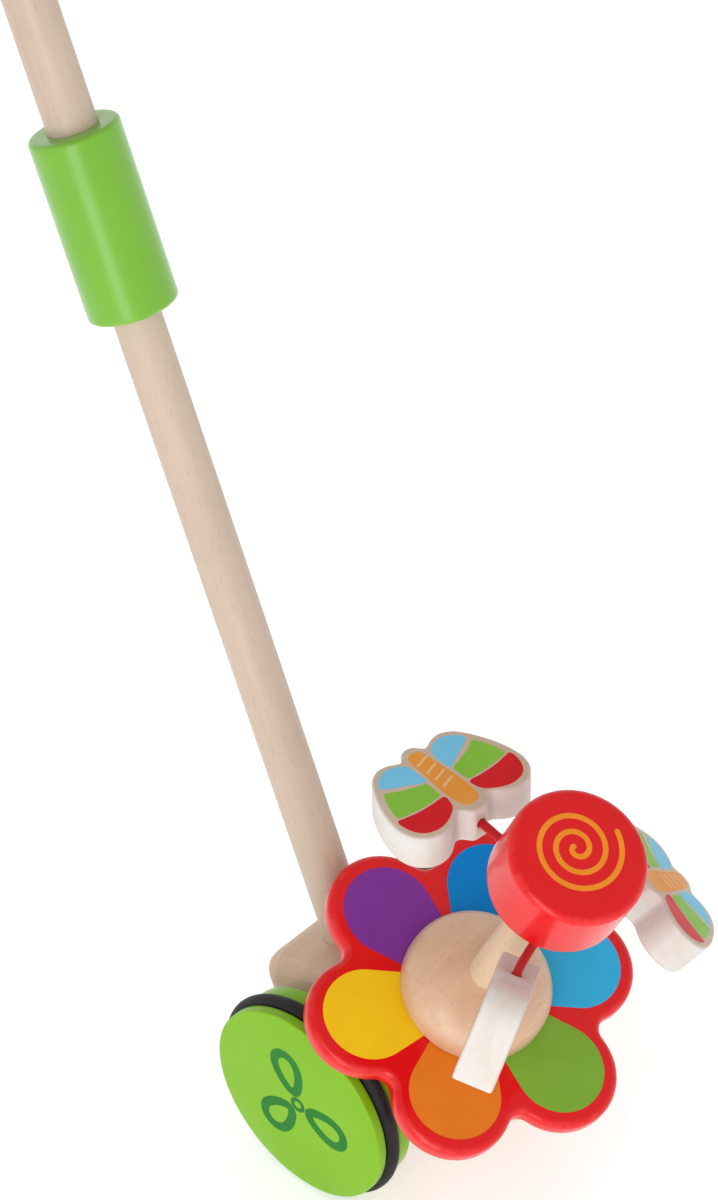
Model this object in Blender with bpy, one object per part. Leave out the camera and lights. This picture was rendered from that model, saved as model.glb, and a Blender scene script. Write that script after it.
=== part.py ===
"""Toddler push toy: a beech block on two wheels, a pushing stick, and a tilted flower that one wheel turns.

Metres, +Z up. The toy drives toward -Y and its user walks behind it on the +Y side, so right is -X.
The origin lies on the flat underside of the block.
"""
import math

import bmesh
import bpy
from mathutils import Matrix, Vector

MM = 0.001
DEG = math.pi / 180.0
HALF = 0.5
TWICE = 2.0
THRICE = 3.0
QUARTER_TURN = 90.0 * DEG
HALF_TURN = 180.0 * DEG
FULL_TURN = 360.0 * DEG

# Fits
glue_gap = 0.15 * MM
running_gap = 0.3 * MM
cutter_overrun = 4.0 * MM

# Resolution
wheel_segments = 64
ring_segments = 56
ring_sides = 10
turned_segments = 48
stick_segments = 32
small_segments = 20
wire_sides = 10
round_steps = 2
block_round_steps = 4
sharp_angle = 35.0 * DEG

# Wheels and tyre rings
wheel_radius = 41.3 * MM
wheel_width = 17.5 * MM
wheel_edge_round = 0.7 * MM
groove_from_face = 4.4 * MM
ring_tube_radius = 3.8 * MM
ring_standout = 2.4 * MM

# Axle
axle_radius = 3.0 * MM
axle_tip_chamfer = 0.6 * MM
axle_seat_depth = 13.0 * MM
axle_height = 19.5 * MM
axle_forward = 12.0 * MM
bush_radius = 5.0 * MM
bush_length = 12.0 * MM
bush_flange_radius = 7.5 * MM
bush_flange_thickness = 1.6 * MM
bush_edge_round = 0.4 * MM
spacer_radius = 6.5 * MM
spacer_length = 9.9 * MM
spacer_edge_round = 0.6 * MM

# Block
block_width = 53.8 * MM
block_top_height = 39.5 * MM
block_rear_reach = 38.7 * MM
block_nose_margin = 18.0 * MM
block_seat_gap = 3.5 * MM
block_round = 9.0 * MM

# Stick
stick_lean = 22.77 * DEG
stick_offset = 12.9 * MM
stick_socket_depth = 30.0 * MM
lower_stick_radius = 9.0 * MM
upper_stick_radius = 9.35 * MM
stick_joint_height = 340.0 * MM
upper_stick_length = 214.0 * MM
stick_end_chamfer = 0.8 * MM
sleeve_radius = 16.9 * MM
sleeve_length = 70.0 * MM
sleeve_below_joint = 36.0 * MM
sleeve_edge_round = 1.8 * MM
joint_dowel_radius = 4.0 * MM
joint_dowel_length = 50.0 * MM
dowel_chamfer = 0.6 * MM
lock_dowel_radius = 2.5 * MM
lock_dowel_height = 25.0 * MM
lock_dowel_inset = 0.4 * MM
lock_dowel_far_end = 1.5 * MM

# Flower
flower_lean = 26.14 * DEG
flower_side_lean = 4.8 * DEG
flower_offset = 13.4 * MM
petal_count = 6
petal_phase = -23.6 * DEG
petal_centre_radius = 43.4 * MM
petal_radius = 22.8 * MM
petal_notch_radius = 50.3 * MM
petal_arc_steps = 14
notch_arc_steps = 5
disc_thickness = 9.0 * MM
disc_edge_round = 2.8 * MM
dome_radius = 28.8 * MM
dome_height = 17.5 * MM
dome_foot_round = 1.2 * MM
dome_shoulder_height = 3.5 * MM
dome_mouth_margin = 1.6 * MM
dome_roundness_share = 0.82
dome_steps = 7

# Spindle
peg_radius = 7.2 * MM
peg_tail = 32.0 * MM
bare_peg_length = 81.05 * MM
peg_chamfer = 0.8 * MM
thrust_washer_radius = 11.0 * MM
spotface_depth = 1.1 * MM
screw_radius = 2.2 * MM
screw_grip = 22.0 * MM
screw_head_radius = 5.5 * MM
screw_head_height = 3.0 * MM
screw_edge_round = 0.5 * MM
screw_seat_depth = 54.0 * MM
screw_hole_radius = 2.8 * MM
screw_washer_radius = 6.8 * MM
screw_washer_thickness = 1.2 * MM
counterbore_radius = 7.5 * MM

# Top cap
cap_radius = 25.6 * MM
cap_thickness = 27.2 * MM
cap_top_round = 2.8 * MM
cap_bottom_round = 1.6 * MM
cap_socket_depth = 13.0 * MM

# Wires
wire_radius = 1.7 * MM
wire_hole_radius = 20.0 * MM
wire_hole_depth = 10.0 * MM
wire_cap_length = 9.4 * MM
wire_fly_length = 9.0 * MM
wire_fly_hole_depth = 10.0 * MM
wire_straight_length = 2.0 * MM
wire_steps = 7
wire_pull_share = 0.9

# Butterflies
fly_half_span = 29.5 * MM
fly_length = 38.8 * MM
fly_thickness = 15.0 * MM
fly_edge_round = 1.0 * MM
fly_curve_steps = 2
fly_tail_drop = 10.7 * MM
first_fly_reach = 36.0 * MM
second_fly_reach = 32.6 * MM
third_fly_reach = 34.0 * MM

# Half outline of a butterfly from the tail tab round the right wings to the head:
# shares of the half span and of the length.
fly_outline_shares = (
    (0.000, -0.030), (0.085, -0.028), (0.139, 0.000), (0.186, 0.046), (0.241, 0.078),
    (0.302, 0.071), (0.369, 0.033), (0.451, -0.010), (0.539, -0.038), (0.641, -0.048),
    (0.739, -0.035), (0.854, 0.010), (0.956, 0.106), (1.000, 0.233), (0.986, 0.367),
    (0.939, 0.519), (0.861, 0.668), (0.769, 0.803), (0.675, 0.901), (0.576, 0.957),
    (0.468, 0.980), (0.353, 0.967), (0.261, 0.932), (0.203, 0.916), (0.156, 0.944),
    (0.102, 0.992), (0.041, 1.015), (0.000, 1.018),
)

# Pose of each butterfly on the flower: angle and distance of its tail from the spindle, heading, droop, roll,
# and the angle of its wire's hole in the cap.
FLY_POSES = (
    {"angle": 89.3 * DEG, "reach": first_fly_reach, "hole": 90.0 * DEG,
     "heading": 85.2 * DEG, "droop": 26.6 * DEG, "roll": 1.0 * DEG},
    {"angle": -34.7 * DEG, "reach": second_fly_reach, "hole": -30.0 * DEG,
     "heading": -12.1 * DEG, "droop": 42.6 * DEG, "roll": -3.8 * DEG},
    {"angle": -153.8 * DEG, "reach": third_fly_reach, "hole": -150.0 * DEG,
     "heading": -147.9 * DEG, "droop": 42.2 * DEG, "roll": -79.8 * DEG},
)

# Directions
UP = Vector((0.0, 0.0, 1.0))
RIGHTWARD = Vector((1.0, 0.0, 0.0))
BACKWARD = Vector((0.0, 1.0, 0.0))
stick_dir = Vector((0.0, math.sin(stick_lean), math.cos(stick_lean)))
stick_back = Vector((0.0, math.cos(stick_lean), -math.sin(stick_lean)))
upright_spindle = Vector((0.0, -math.sin(flower_lean), math.cos(flower_lean)))
downhill = Vector((0.0, -math.cos(flower_lean), -math.sin(flower_lean)))
spindle_dir = upright_spindle * math.cos(flower_side_lean) - RIGHTWARD * math.sin(flower_side_lean)

# Derived places, all measured from the axle's centre
axle_centre = Vector((0.0, -axle_forward, axle_height))
block_half_width = block_width * HALF
bush_face_reach = block_half_width + glue_gap + bush_flange_thickness
wheel_inner_reach = bush_face_reach + running_gap + spacer_length + glue_gap
wheel_face_reach = wheel_inner_reach + wheel_width
axle_half_length = wheel_inner_reach + axle_seat_depth
ring_centre_radius = wheel_radius + ring_standout - ring_tube_radius
groove_half_width = ring_tube_radius + glue_gap
groove_floor_radius = ring_centre_radius - ring_tube_radius - glue_gap
ring_plane = wheel_face_reach - groove_from_face - groove_half_width

# Heights along the stick
stick_top_height = stick_joint_height + upper_stick_length
sleeve_bottom_height = stick_joint_height - sleeve_below_joint
sleeve_top_height = sleeve_bottom_height + sleeve_length

# The lower ring carries the disc: the disc's underside clears that ring's highest line by the running gap
ring_support = (ring_plane * math.sin(flower_side_lean) + ring_centre_radius * math.cos(flower_side_lean)
                + ring_tube_radius)
disc_underside = ring_support + running_gap
disc_top = disc_underside + disc_thickness
flower_centre = (axle_centre + downhill * flower_offset
                 + upright_spindle * (disc_top / math.cos(flower_side_lean)))
block_seat_height = disc_underside / math.cos(flower_side_lean) - block_seat_gap
spotface_drop = block_seat_gap * math.cos(flower_side_lean) + spotface_depth
dome_top_height = glue_gap + dome_height
cap_bottom_height = dome_top_height + bare_peg_length
cap_top_height = cap_bottom_height + cap_thickness
fly_tail_height = cap_bottom_height - fly_tail_drop
peg_top_height = cap_bottom_height + cap_socket_depth - glue_gap


def place_matrix(origin, z_axis, x_hint):
    """Frame at origin with its Z along z_axis and its X as near x_hint as that allows."""
    z = z_axis.normalized()
    x = (x_hint - z * x_hint.dot(z)).normalized()
    y = z.cross(x)
    turned = Matrix((x, y, z)).transposed().to_4x4()
    return Matrix.Translation(origin) @ turned


FLOWER = place_matrix(flower_centre, spindle_dir, RIGHTWARD)
STICK = place_matrix(axle_centre + stick_back * stick_offset, stick_dir, RIGHTWARD)
LOCK = place_matrix(axle_centre + stick_dir * lock_dowel_height, stick_back, RIGHTWARD)
AXLE_RIGHT = place_matrix(axle_centre, -RIGHTWARD, UP)
AXLE_LEFT = place_matrix(axle_centre, RIGHTWARD, UP)


def plain_material(name, color, roughness, metallic=0.0):
    """Plain surface with one colour."""
    material = bpy.data.materials.new(name)
    material.use_nodes = True
    surface = material.node_tree.nodes["Principled BSDF"]
    surface.inputs["Base Color"].default_value = color
    surface.inputs["Roughness"].default_value = roughness
    surface.inputs["Metallic"].default_value = metallic
    material.diffuse_color = color
    return material


def make_materials():
    """One material for each finish on the toy."""
    return {
        "beech": plain_material("beech", (0.78, 0.60, 0.44, 1.0), 0.5),
        "pale_beech": plain_material("pale_beech", (0.85, 0.78, 0.66, 1.0), 0.5),
        "green": plain_material("green_lacquer", (0.27, 0.58, 0.06, 1.0), 0.32),
        "red": plain_material("red_lacquer", (0.70, 0.015, 0.02, 1.0), 0.3),
        "wire": plain_material("red_coated_wire", (0.66, 0.02, 0.02, 1.0), 0.4),
        "rubber": plain_material("black_rubber", (0.02, 0.02, 0.022, 1.0), 0.62),
        "nylon": plain_material("white_nylon", (0.82, 0.81, 0.76, 1.0), 0.45),
        "steel": plain_material("zinc_plated_steel", (0.62, 0.63, 0.65, 1.0), 0.3, 1.0),
    }


def add_object(name, mesh_data, matrix, material):
    """Object from a bmesh, placed by its matrix, faces smooth but for the sharp edges."""
    mesh = bpy.data.meshes.new(name)
    bmesh.ops.recalc_face_normals(mesh_data, faces=mesh_data.faces[:])
    for face in mesh_data.faces:
        face.smooth = True
    mesh_data.to_mesh(mesh)
    mesh_data.free()
    mesh.set_sharp_from_angle(angle=sharp_angle)
    if material is not None:
        mesh.materials.append(material)
    item = bpy.data.objects.new(name, mesh)
    bpy.context.scene.collection.objects.link(item)
    item.rotation_mode = "XYZ"
    item.location = matrix.to_translation()
    item.rotation_euler = matrix.to_euler("XYZ")
    return item


def lathe(name, profile, segments, matrix, material, closed=False):
    """Turned body about local Z from (radius, height) points; closed profiles make a ring."""
    body = bmesh.new()
    rings = []
    for radius, height in profile:
        if radius == 0.0:
            rings.append([body.verts.new((0.0, 0.0, height))])
            continue
        ring = []
        for step in range(segments):
            angle = FULL_TURN * step / segments
            ring.append(body.verts.new((radius * math.cos(angle), radius * math.sin(angle), height)))
        rings.append(ring)
    pairs = list(zip(rings, rings[1:]))
    if closed:
        pairs.append((rings[-1], rings[0]))
    for low, high in pairs:
        for step in range(segments):
            after = (step + 1) % segments
            corners = (low[step % len(low)], low[after % len(low)],
                       high[after % len(high)], high[step % len(high)])
            body.faces.new(list(dict.fromkeys(corners)))
    return add_object(name, body, matrix, material)


def corner_points(radius, height, round_radius, toward_axis, upward, steps):
    """Profile points of a rounded corner whose sharp corner is (radius, height).

    toward_axis is +1 when the material lies nearer the axis and upward is +1 when it lies above.
    """
    centre_radius = radius - toward_axis * round_radius
    centre_height = height + upward * round_radius
    points = []
    for step in range(steps + 1):
        angle = QUARTER_TURN * step / steps
        points.append((centre_radius + toward_axis * round_radius * math.cos(angle),
                       centre_height - upward * round_radius * math.sin(angle)))
    return points


def rod_profile(radius, bottom, top, bottom_chamfer, top_chamfer):
    """Solid rod with a chamfer at each end."""
    return [(0.0, bottom), (radius - bottom_chamfer, bottom), (radius, bottom + bottom_chamfer),
            (radius, top - top_chamfer), (radius - top_chamfer, top), (0.0, top)]


def tube_profile(inner, outer, bottom, top, edge_round):
    """Tube with rounded outer edges, walked once round."""
    low = corner_points(outer, bottom, edge_round, 1, 1, round_steps)
    high = corner_points(outer, top, edge_round, 1, -1, round_steps)
    return [(inner, bottom)] + low[::-1] + high + [(inner, top)]


def bore(target, name, steps, matrix, segments=small_segments):
    """Cut a stepped round hole along local Z; steps are (radius, bottom, top) and follow each other upward."""
    profile = [(0.0, steps[0][1])]
    for radius, bottom, top in steps:
        profile += [(radius, bottom), (radius, top)]
    profile.append((0.0, steps[-1][2]))
    cutter = lathe(target.name + "_" + name, profile, segments, matrix, None)
    cutter.hide_render = True
    cutter.display_type = "WIRE"
    hole = target.modifiers.new(name, "BOOLEAN")
    hole.operation = "DIFFERENCE"
    hole.solver = "EXACT"
    hole.object = cutter


# Block


def profile_corner(first, second):
    """Where two faces of the block's side profile meet; a face is (outward normal, distance from axle)."""
    (n1, d1), (n2, d2) = first, second
    turn = n1.y * n2.z - n1.z * n2.y
    return ((d1 * n2.z - d2 * n1.z) / turn, (n1.y * d2 - n2.y * d1) / turn)


def build_block(mat):
    """Beech block: flat underside, rear face along the stick, top square to it, seat under the flower."""
    faces = [(-UP, axle_height), (stick_back, block_rear_reach), (stick_dir, block_top_height),
             (upright_spindle, block_seat_height), (downhill, flower_offset + block_nose_margin)]
    corners = [profile_corner(faces[i], faces[(i + 1) % len(faces)]) for i in range(len(faces))]
    body = bmesh.new()
    ends = []
    for x in (-block_half_width, block_half_width):
        ends.append([body.verts.new((x, y, z)) for y, z in corners])
    body.faces.new(ends[0])
    body.faces.new(ends[1][::-1])
    for i in range(len(corners)):
        after = (i + 1) % len(corners)
        body.faces.new((ends[0][i], ends[1][i], ends[1][after], ends[0][after]))
    bmesh.ops.recalc_face_normals(body, faces=body.faces[:])
    bmesh.ops.bevel(body, geom=body.edges[:], offset=block_round, offset_type="OFFSET",
                    segments=block_round_steps, profile=HALF, affect="EDGES")
    block = add_object("chassis_block", body, Matrix.Translation(axle_centre), mat["beech"])
    bore_block(block)
    return block


def bore_block(block):
    """Every hole in the block."""
    socket_floor = block_top_height - stick_socket_depth
    bore(block, "stick_socket", [(lower_stick_radius + glue_gap, socket_floor, block_top_height + cutter_overrun)],
         STICK, stick_segments)
    lock = (lock_dowel_radius + glue_gap, lock_dowel_far_end - glue_gap, block_rear_reach + cutter_overrun)
    bore(block, "lock_hole", [lock], LOCK)
    seat_end = block_half_width - bush_length - glue_gap
    outside = block_half_width + cutter_overrun
    seat_radius = bush_radius + glue_gap
    bore(block, "axle_hole", [(seat_radius, -outside, -seat_end),
                              (axle_radius + running_gap, -seat_end, seat_end),
                              (seat_radius, seat_end, outside)], AXLE_LEFT)
    spotface = -disc_thickness - spotface_drop
    bore_floor = -disc_thickness - peg_tail - running_gap
    screw_seat = -disc_thickness - screw_seat_depth
    below = screw_seat - axle_height
    bore(block, "spindle_hole", [(counterbore_radius, below, screw_seat),
                                 (screw_hole_radius, screw_seat, bore_floor),
                                 (peg_radius + running_gap, bore_floor, spotface),
                                 (thrust_washer_radius + running_gap, spotface, 0.0)], FLOWER, stick_segments)


# Stick


def build_stick(mat):
    """Two stick halves joined end to end by a dowel inside the green sleeve."""
    foot = block_top_height - stick_socket_depth + glue_gap
    lower_top = stick_joint_height - glue_gap * HALF
    upper_bottom = stick_joint_height + glue_gap * HALF
    lower_profile = rod_profile(lower_stick_radius, foot, lower_top, stick_end_chamfer, stick_end_chamfer)
    lower = lathe("lower_stick", lower_profile, stick_segments, STICK, mat["beech"])
    dome = [(upper_stick_radius * math.cos(QUARTER_TURN * i / dome_steps),
             stick_top_height - upper_stick_radius + upper_stick_radius * math.sin(QUARTER_TURN * i / dome_steps))
            for i in range(dome_steps)]
    upper_profile = [(0.0, upper_bottom), (upper_stick_radius - stick_end_chamfer, upper_bottom),
                     (upper_stick_radius, upper_bottom + stick_end_chamfer)] + dome + [(0.0, stick_top_height)]
    upper = lathe("upper_stick", upper_profile, stick_segments, STICK, mat["beech"])
    join_stick(lower, upper, mat)
    lock_stick(lower, mat)


def join_stick(lower, upper, mat):
    """Dowel in a hole in each half where the halves meet."""
    half_dowel = joint_dowel_length * HALF
    hole_radius = joint_dowel_radius + glue_gap
    low = stick_joint_height - half_dowel
    high = stick_joint_height + half_dowel
    bore(lower, "dowel_hole", [(hole_radius, low - glue_gap, stick_joint_height + cutter_overrun)], STICK)
    bore(upper, "dowel_hole", [(hole_radius, stick_joint_height - cutter_overrun, high + glue_gap)], STICK)
    profile = rod_profile(joint_dowel_radius, low, high, dowel_chamfer, dowel_chamfer)
    lathe("stick_joint_dowel", profile, small_segments, STICK, mat["pale_beech"])


def lock_stick(lower, mat):
    """Cross dowel from the block's rear face through the stick."""
    through = lower_stick_radius + cutter_overrun
    bore(lower, "lock_hole", [(lock_dowel_radius + glue_gap, stick_offset - through, stick_offset + through)], LOCK)
    rear_end = block_rear_reach - lock_dowel_inset
    profile = rod_profile(lock_dowel_radius, lock_dowel_far_end, rear_end, dowel_chamfer, dowel_chamfer)
    lathe("stick_lock_dowel", profile, small_segments, LOCK, mat["pale_beech"])


def build_sleeve(mat):
    """Green sleeve round the stick's joint; its bore steps up for the thicker upper half."""
    lower_bore = lower_stick_radius + glue_gap
    upper_bore = upper_stick_radius + glue_gap
    low = corner_points(sleeve_radius, sleeve_bottom_height, sleeve_edge_round, 1, 1, round_steps)
    high = corner_points(sleeve_radius, sleeve_top_height, sleeve_edge_round, 1, -1, round_steps)
    step_height = stick_joint_height - glue_gap
    profile = ([(lower_bore, sleeve_bottom_height)] + low[::-1] + high
               + [(upper_bore, sleeve_top_height), (upper_bore, step_height), (lower_bore, step_height)])
    lathe("grip_sleeve", profile, turned_segments, STICK, mat["green"], closed=True)


# Wheels


def build_wheel(side, matrix, mat):
    """Grooved wheel, bored blind from its inner face."""
    outer = wheel_face_reach
    inner = wheel_inner_reach
    groove_in = ring_plane - groove_half_width
    groove_out = ring_plane + groove_half_width
    bore = axle_radius + glue_gap
    bore_end = axle_half_length + glue_gap
    rim_round = wheel_edge_round
    profile = [(0.0, bore_end), (bore, bore_end), (bore, inner)]
    profile += corner_points(wheel_radius, inner, rim_round, 1, 1, round_steps)[::-1]
    profile += corner_points(wheel_radius, groove_in, rim_round, 1, -1, round_steps)
    profile += [(groove_floor_radius, groove_in), (groove_floor_radius, groove_out)]
    profile += corner_points(wheel_radius, groove_out, rim_round, 1, 1, round_steps)[::-1]
    profile += corner_points(wheel_radius, outer, rim_round, 1, -1, round_steps)
    profile += [(0.0, outer)]
    lathe(side + "_wheel", profile, wheel_segments, matrix, mat["green"])


def build_ring(side, matrix, mat):
    """Black tyre ring of round section."""
    profile = []
    for step in range(ring_sides):
        angle = FULL_TURN * step / ring_sides
        profile.append((ring_centre_radius + ring_tube_radius * math.cos(angle),
                        ring_plane + ring_tube_radius * math.sin(angle)))
    lathe(side + "_tyre_ring", profile, ring_segments, matrix, mat["rubber"], closed=True)


def build_bush(side, matrix, mat):
    """Flanged bush pressed into the block's end."""
    face = block_half_width + glue_gap
    bore = axle_radius + running_gap
    flange = corner_points(bush_flange_radius, bush_face_reach, bush_edge_round, 1, -1, round_steps)
    profile = [(bore, block_half_width - bush_length), (bush_radius, block_half_width - bush_length),
               (bush_radius, face), (bush_flange_radius, face)] + flange + [(bore, bush_face_reach)]
    lathe(side + "_axle_bush", profile, stick_segments, matrix, mat["nylon"], closed=True)


def build_spacer(side, matrix, mat):
    """Spacer tube that keeps the wheel off the block."""
    bottom = bush_face_reach + running_gap
    profile = tube_profile(axle_radius + glue_gap, spacer_radius, bottom, bottom + spacer_length, spacer_edge_round)
    lathe(side + "_axle_spacer", profile, stick_segments, matrix, mat["nylon"], closed=True)


def build_axle(mat):
    """Steel rod that carries both wheels."""
    rod = rod_profile(axle_radius, -axle_half_length, axle_half_length, axle_tip_chamfer, axle_tip_chamfer)
    lathe("axle_rod", rod, small_segments, AXLE_LEFT, mat["steel"])
    for side, matrix in (("right", AXLE_RIGHT), ("left", AXLE_LEFT)):
        build_wheel(side, matrix, mat)
        build_ring(side, matrix, mat)
        build_bush(side, matrix, mat)
        build_spacer(side, matrix, mat)


# Flower


def notch_fillet():
    """Radius and centre distance of the arc that joins two petals at the notch radius."""
    half_step = FULL_TURN / petal_count * HALF
    across = petal_centre_radius * math.sin(half_step)
    along = petal_notch_radius - petal_centre_radius * math.cos(half_step)
    radius = (petal_radius ** 2 - along ** 2 - across ** 2) / (TWICE * (along - petal_radius))
    return radius, petal_notch_radius + radius


def flower_outline(inset):
    """Points of the flower's outline, shrunk by the inset."""
    fillet_radius, fillet_centre = notch_fillet()
    step_angle = FULL_TURN / petal_count
    half_step = step_angle * HALF
    notch = Vector((fillet_centre * math.cos(half_step), fillet_centre * math.sin(half_step)))
    toward = Vector((petal_centre_radius, 0.0)) - notch
    joint = math.atan2(-toward.y, -toward.x)
    swing = math.atan2(toward.y, toward.x)
    points = []
    for petal in range(petal_count):
        turn = petal_phase + step_angle * petal
        spin = Matrix.Rotation(turn, 2)
        for i in range(petal_arc_steps + 1):
            angle = -joint + TWICE * joint * i / petal_arc_steps
            reach = petal_radius - inset
            points.append(spin @ Vector((petal_centre_radius + reach * math.cos(angle),
                                         reach * math.sin(angle))))
        middle = half_step + HALF_TURN
        start = swing if swing > 0.0 else swing + FULL_TURN
        for i in range(1, notch_arc_steps):
            angle = start + TWICE * (middle - start) * i / notch_arc_steps
            reach = fillet_radius + inset
            points.append(spin @ (notch + Vector((reach * math.cos(angle), reach * math.sin(angle)))))
    return points


def slab(name, outline_at, rows, matrix, material):
    """Slab lofted through (inset, height) rows of one outline, closed by a flat face at each end."""
    body = bmesh.new()
    loops = []
    for inset, height in rows:
        loops.append([body.verts.new((p.x, p.y, height)) for p in outline_at(inset)])
    count = len(loops[0])
    for low, high in zip(loops, loops[1:]):
        for i in range(count):
            after = (i + 1) % count
            body.faces.new((low[i], low[after], high[after], high[i]))
    body.faces.new(loops[0][::-1])
    body.faces.new(loops[-1])
    return add_object(name, body, matrix, material)


def rounded_rows(bottom, top, edge_round, steps):
    """Inset and height rows of a slab whose two edges are rounded."""
    low = [(edge_round - edge_round * math.sin(QUARTER_TURN * i / steps),
            bottom + edge_round - edge_round * math.cos(QUARTER_TURN * i / steps)) for i in range(steps + 1)]
    high = [(inset, top - (height - bottom)) for inset, height in reversed(low)]
    return low + high


def build_disc(mat):
    """Flower-shaped disc that rides on the right tyre ring."""
    disc = slab("flower_disc", flower_outline, rounded_rows(-disc_thickness, 0.0, disc_edge_round, round_steps),
                FLOWER, mat["red"])
    bore(disc, "peg_hole", [(peg_radius + glue_gap, -disc_thickness - cutter_overrun, cutter_overrun)], FLOWER,
         stick_segments)


def build_dome(mat):
    """Turned bun with a full shoulder, bored for the peg."""
    foot = glue_gap
    bore = peg_radius + glue_gap
    rise = dome_height - dome_shoulder_height
    profile = [(bore, foot)] + corner_points(dome_radius, foot, dome_foot_round, 1, 1, round_steps)[::-1]
    for i in range(dome_steps + 1):
        angle = QUARTER_TURN * i / dome_steps
        radius = dome_radius * math.cos(angle) ** dome_roundness_share
        height = foot + dome_shoulder_height + rise * math.sin(angle) ** dome_roundness_share
        if radius <= bore + dome_mouth_margin:
            break
        profile.append((radius, height))
    profile.append((bore, dome_top_height))
    lathe("flower_dome", profile, turned_segments, FLOWER, mat["beech"], closed=True)


def build_spindle(mat):
    """Peg that carries disc, dome and cap, with the washer it turns on."""
    tail = -disc_thickness - peg_tail
    peg = lathe("spindle_peg", rod_profile(peg_radius, tail, peg_top_height, peg_chamfer, peg_chamfer),
                stick_segments, FLOWER, mat["beech"])
    bore(peg, "screw_pilot", [(screw_radius + glue_gap, tail - cutter_overrun, tail + screw_grip + glue_gap)], FLOWER)
    washer_top = -disc_thickness - running_gap
    washer_bottom = -disc_thickness - spotface_drop + running_gap
    thrust = tube_profile(peg_radius + running_gap, thrust_washer_radius, washer_bottom, washer_top,
                          screw_edge_round)
    lathe("thrust_washer", thrust, stick_segments, FLOWER, mat["nylon"], closed=True)
    build_screw(mat)


def build_screw(mat):
    """Screw up into the peg's tail, its washer turning against the block's counterbore."""
    tail = -disc_thickness - peg_tail
    seat = -disc_thickness - screw_seat_depth - running_gap
    washer = tube_profile(screw_radius + glue_gap, screw_washer_radius, seat - screw_washer_thickness, seat,
                          screw_edge_round)
    lathe("screw_washer", washer, small_segments, FLOWER, mat["steel"], closed=True)
    head_top = seat - screw_washer_thickness - glue_gap
    head = corner_points(screw_head_radius, head_top - screw_head_height, screw_edge_round, 1, 1, round_steps)
    profile = ([(0.0, head_top - screw_head_height)] + head[::-1]
               + [(screw_head_radius, head_top), (screw_radius, head_top),
                  (screw_radius, tail + screw_grip - screw_edge_round),
                  (screw_radius - screw_edge_round, tail + screw_grip), (0.0, tail + screw_grip)])
    lathe("pivot_screw", profile, small_segments, FLOWER, mat["steel"])


def flower_point(angle, radius, height):
    """Point in the flower's own frame."""
    return Vector((radius * math.cos(angle), radius * math.sin(angle), height))


def build_cap(mat):
    """Red cap on the peg, drilled from below for the peg and the three wires."""
    profile = [(0.0, cap_bottom_height)]
    profile += corner_points(cap_radius, cap_bottom_height, cap_bottom_round, 1, 1, round_steps)[::-1]
    profile += corner_points(cap_radius, cap_top_height, cap_top_round, 1, -1, round_steps)
    profile += [(0.0, cap_top_height)]
    cap = lathe("top_cap", profile, wheel_segments, FLOWER, mat["red"])
    below = cap_bottom_height - cutter_overrun
    bore(cap, "peg_socket", [(peg_radius + glue_gap, below, cap_bottom_height + cap_socket_depth)], FLOWER,
         stick_segments)
    for index, pose in enumerate(FLY_POSES):
        hole = FLOWER @ Matrix.Translation(flower_point(pose["hole"], wire_hole_radius, 0.0))
        wire_hole = (wire_radius + glue_gap, below, cap_bottom_height + wire_hole_depth)
        bore(cap, "wire_hole_%d" % (index + 1), [wire_hole], hole, wire_sides)


# Butterflies


def fly_frame(pose):
    """Frame of one butterfly on the flower: origin at its tail, Y toward its head, Z out of its upper face."""
    heading = Vector((math.cos(pose["heading"]), math.sin(pose["heading"]), 0.0))
    head = heading * math.cos(pose["droop"]) - UP * math.sin(pose["droop"])
    level_up = (UP - head * UP.dot(head)).normalized()
    sideways = head.cross(level_up)
    normal = level_up * math.cos(pose["roll"]) + sideways * math.sin(pose["roll"])
    turned = Matrix((head.cross(normal), head, normal)).transposed().to_4x4()
    return Matrix.Translation(flower_point(pose["angle"], pose["reach"], fly_tail_height)) @ turned


def ease(t):
    """Smooth rise from zero to one."""
    return t * t * (THRICE - TWICE * t)


def smooth_run(points, steps):
    """Points of a curve that passes through the given points."""
    run = []
    for i in range(len(points) - 1):
        p0, p1, p2, p3 = points[max(i - 1, 0)], points[i], points[i + 1], points[min(i + 2, len(points) - 1)]
        leave = (p2 - p0) * HALF
        arrive = (p3 - p1) * HALF
        for step in range(steps):
            t = step / steps
            blend = ease(t)
            run.append(p1 * (1 - blend) + p2 * blend + leave * (t * (1 - t) ** 2) - arrive * (t * t * (1 - t)))
    run.append(points[-1])
    return run


def fly_outline():
    """Outline of a butterfly, tail at the origin and head toward +Y."""
    half = [Vector((w * fly_half_span, b * fly_length)) for w, b in fly_outline_shares]
    run = smooth_run(half, fly_curve_steps)
    mirrored = [Vector((-p.x, p.y)) for p in reversed(run[1:-1])]
    return run + mirrored


def shrink_outline(points, inset):
    """Outline moved inward by the inset, square to its own direction."""
    moved = []
    for i, point in enumerate(points):
        along = (points[(i + 1) % len(points)] - points[i - 1]).normalized()
        moved.append(point + Vector((-along.y, along.x)) * inset)
    return moved


def build_butterflies(mat):
    """Three wooden butterflies, each free to roll about the end of its wire."""
    outline = fly_outline()
    half_thick = fly_thickness * HALF
    rows = rounded_rows(-half_thick, half_thick, fly_edge_round, round_steps)
    for index, pose in enumerate(FLY_POSES):
        matrix = FLOWER @ fly_frame(pose)
        fly = slab("butterfly_%d" % (index + 1), lambda inset: shrink_outline(outline, inset), rows, matrix,
                   mat["pale_beech"])
        along_body = matrix @ place_matrix(Vector(), BACKWARD, RIGHTWARD)
        bore(fly, "wire_hole", [(wire_radius + running_gap, -cutter_overrun, wire_fly_hole_depth)], along_body,
             wire_sides)
        build_wire(index, pose, mat)


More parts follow.
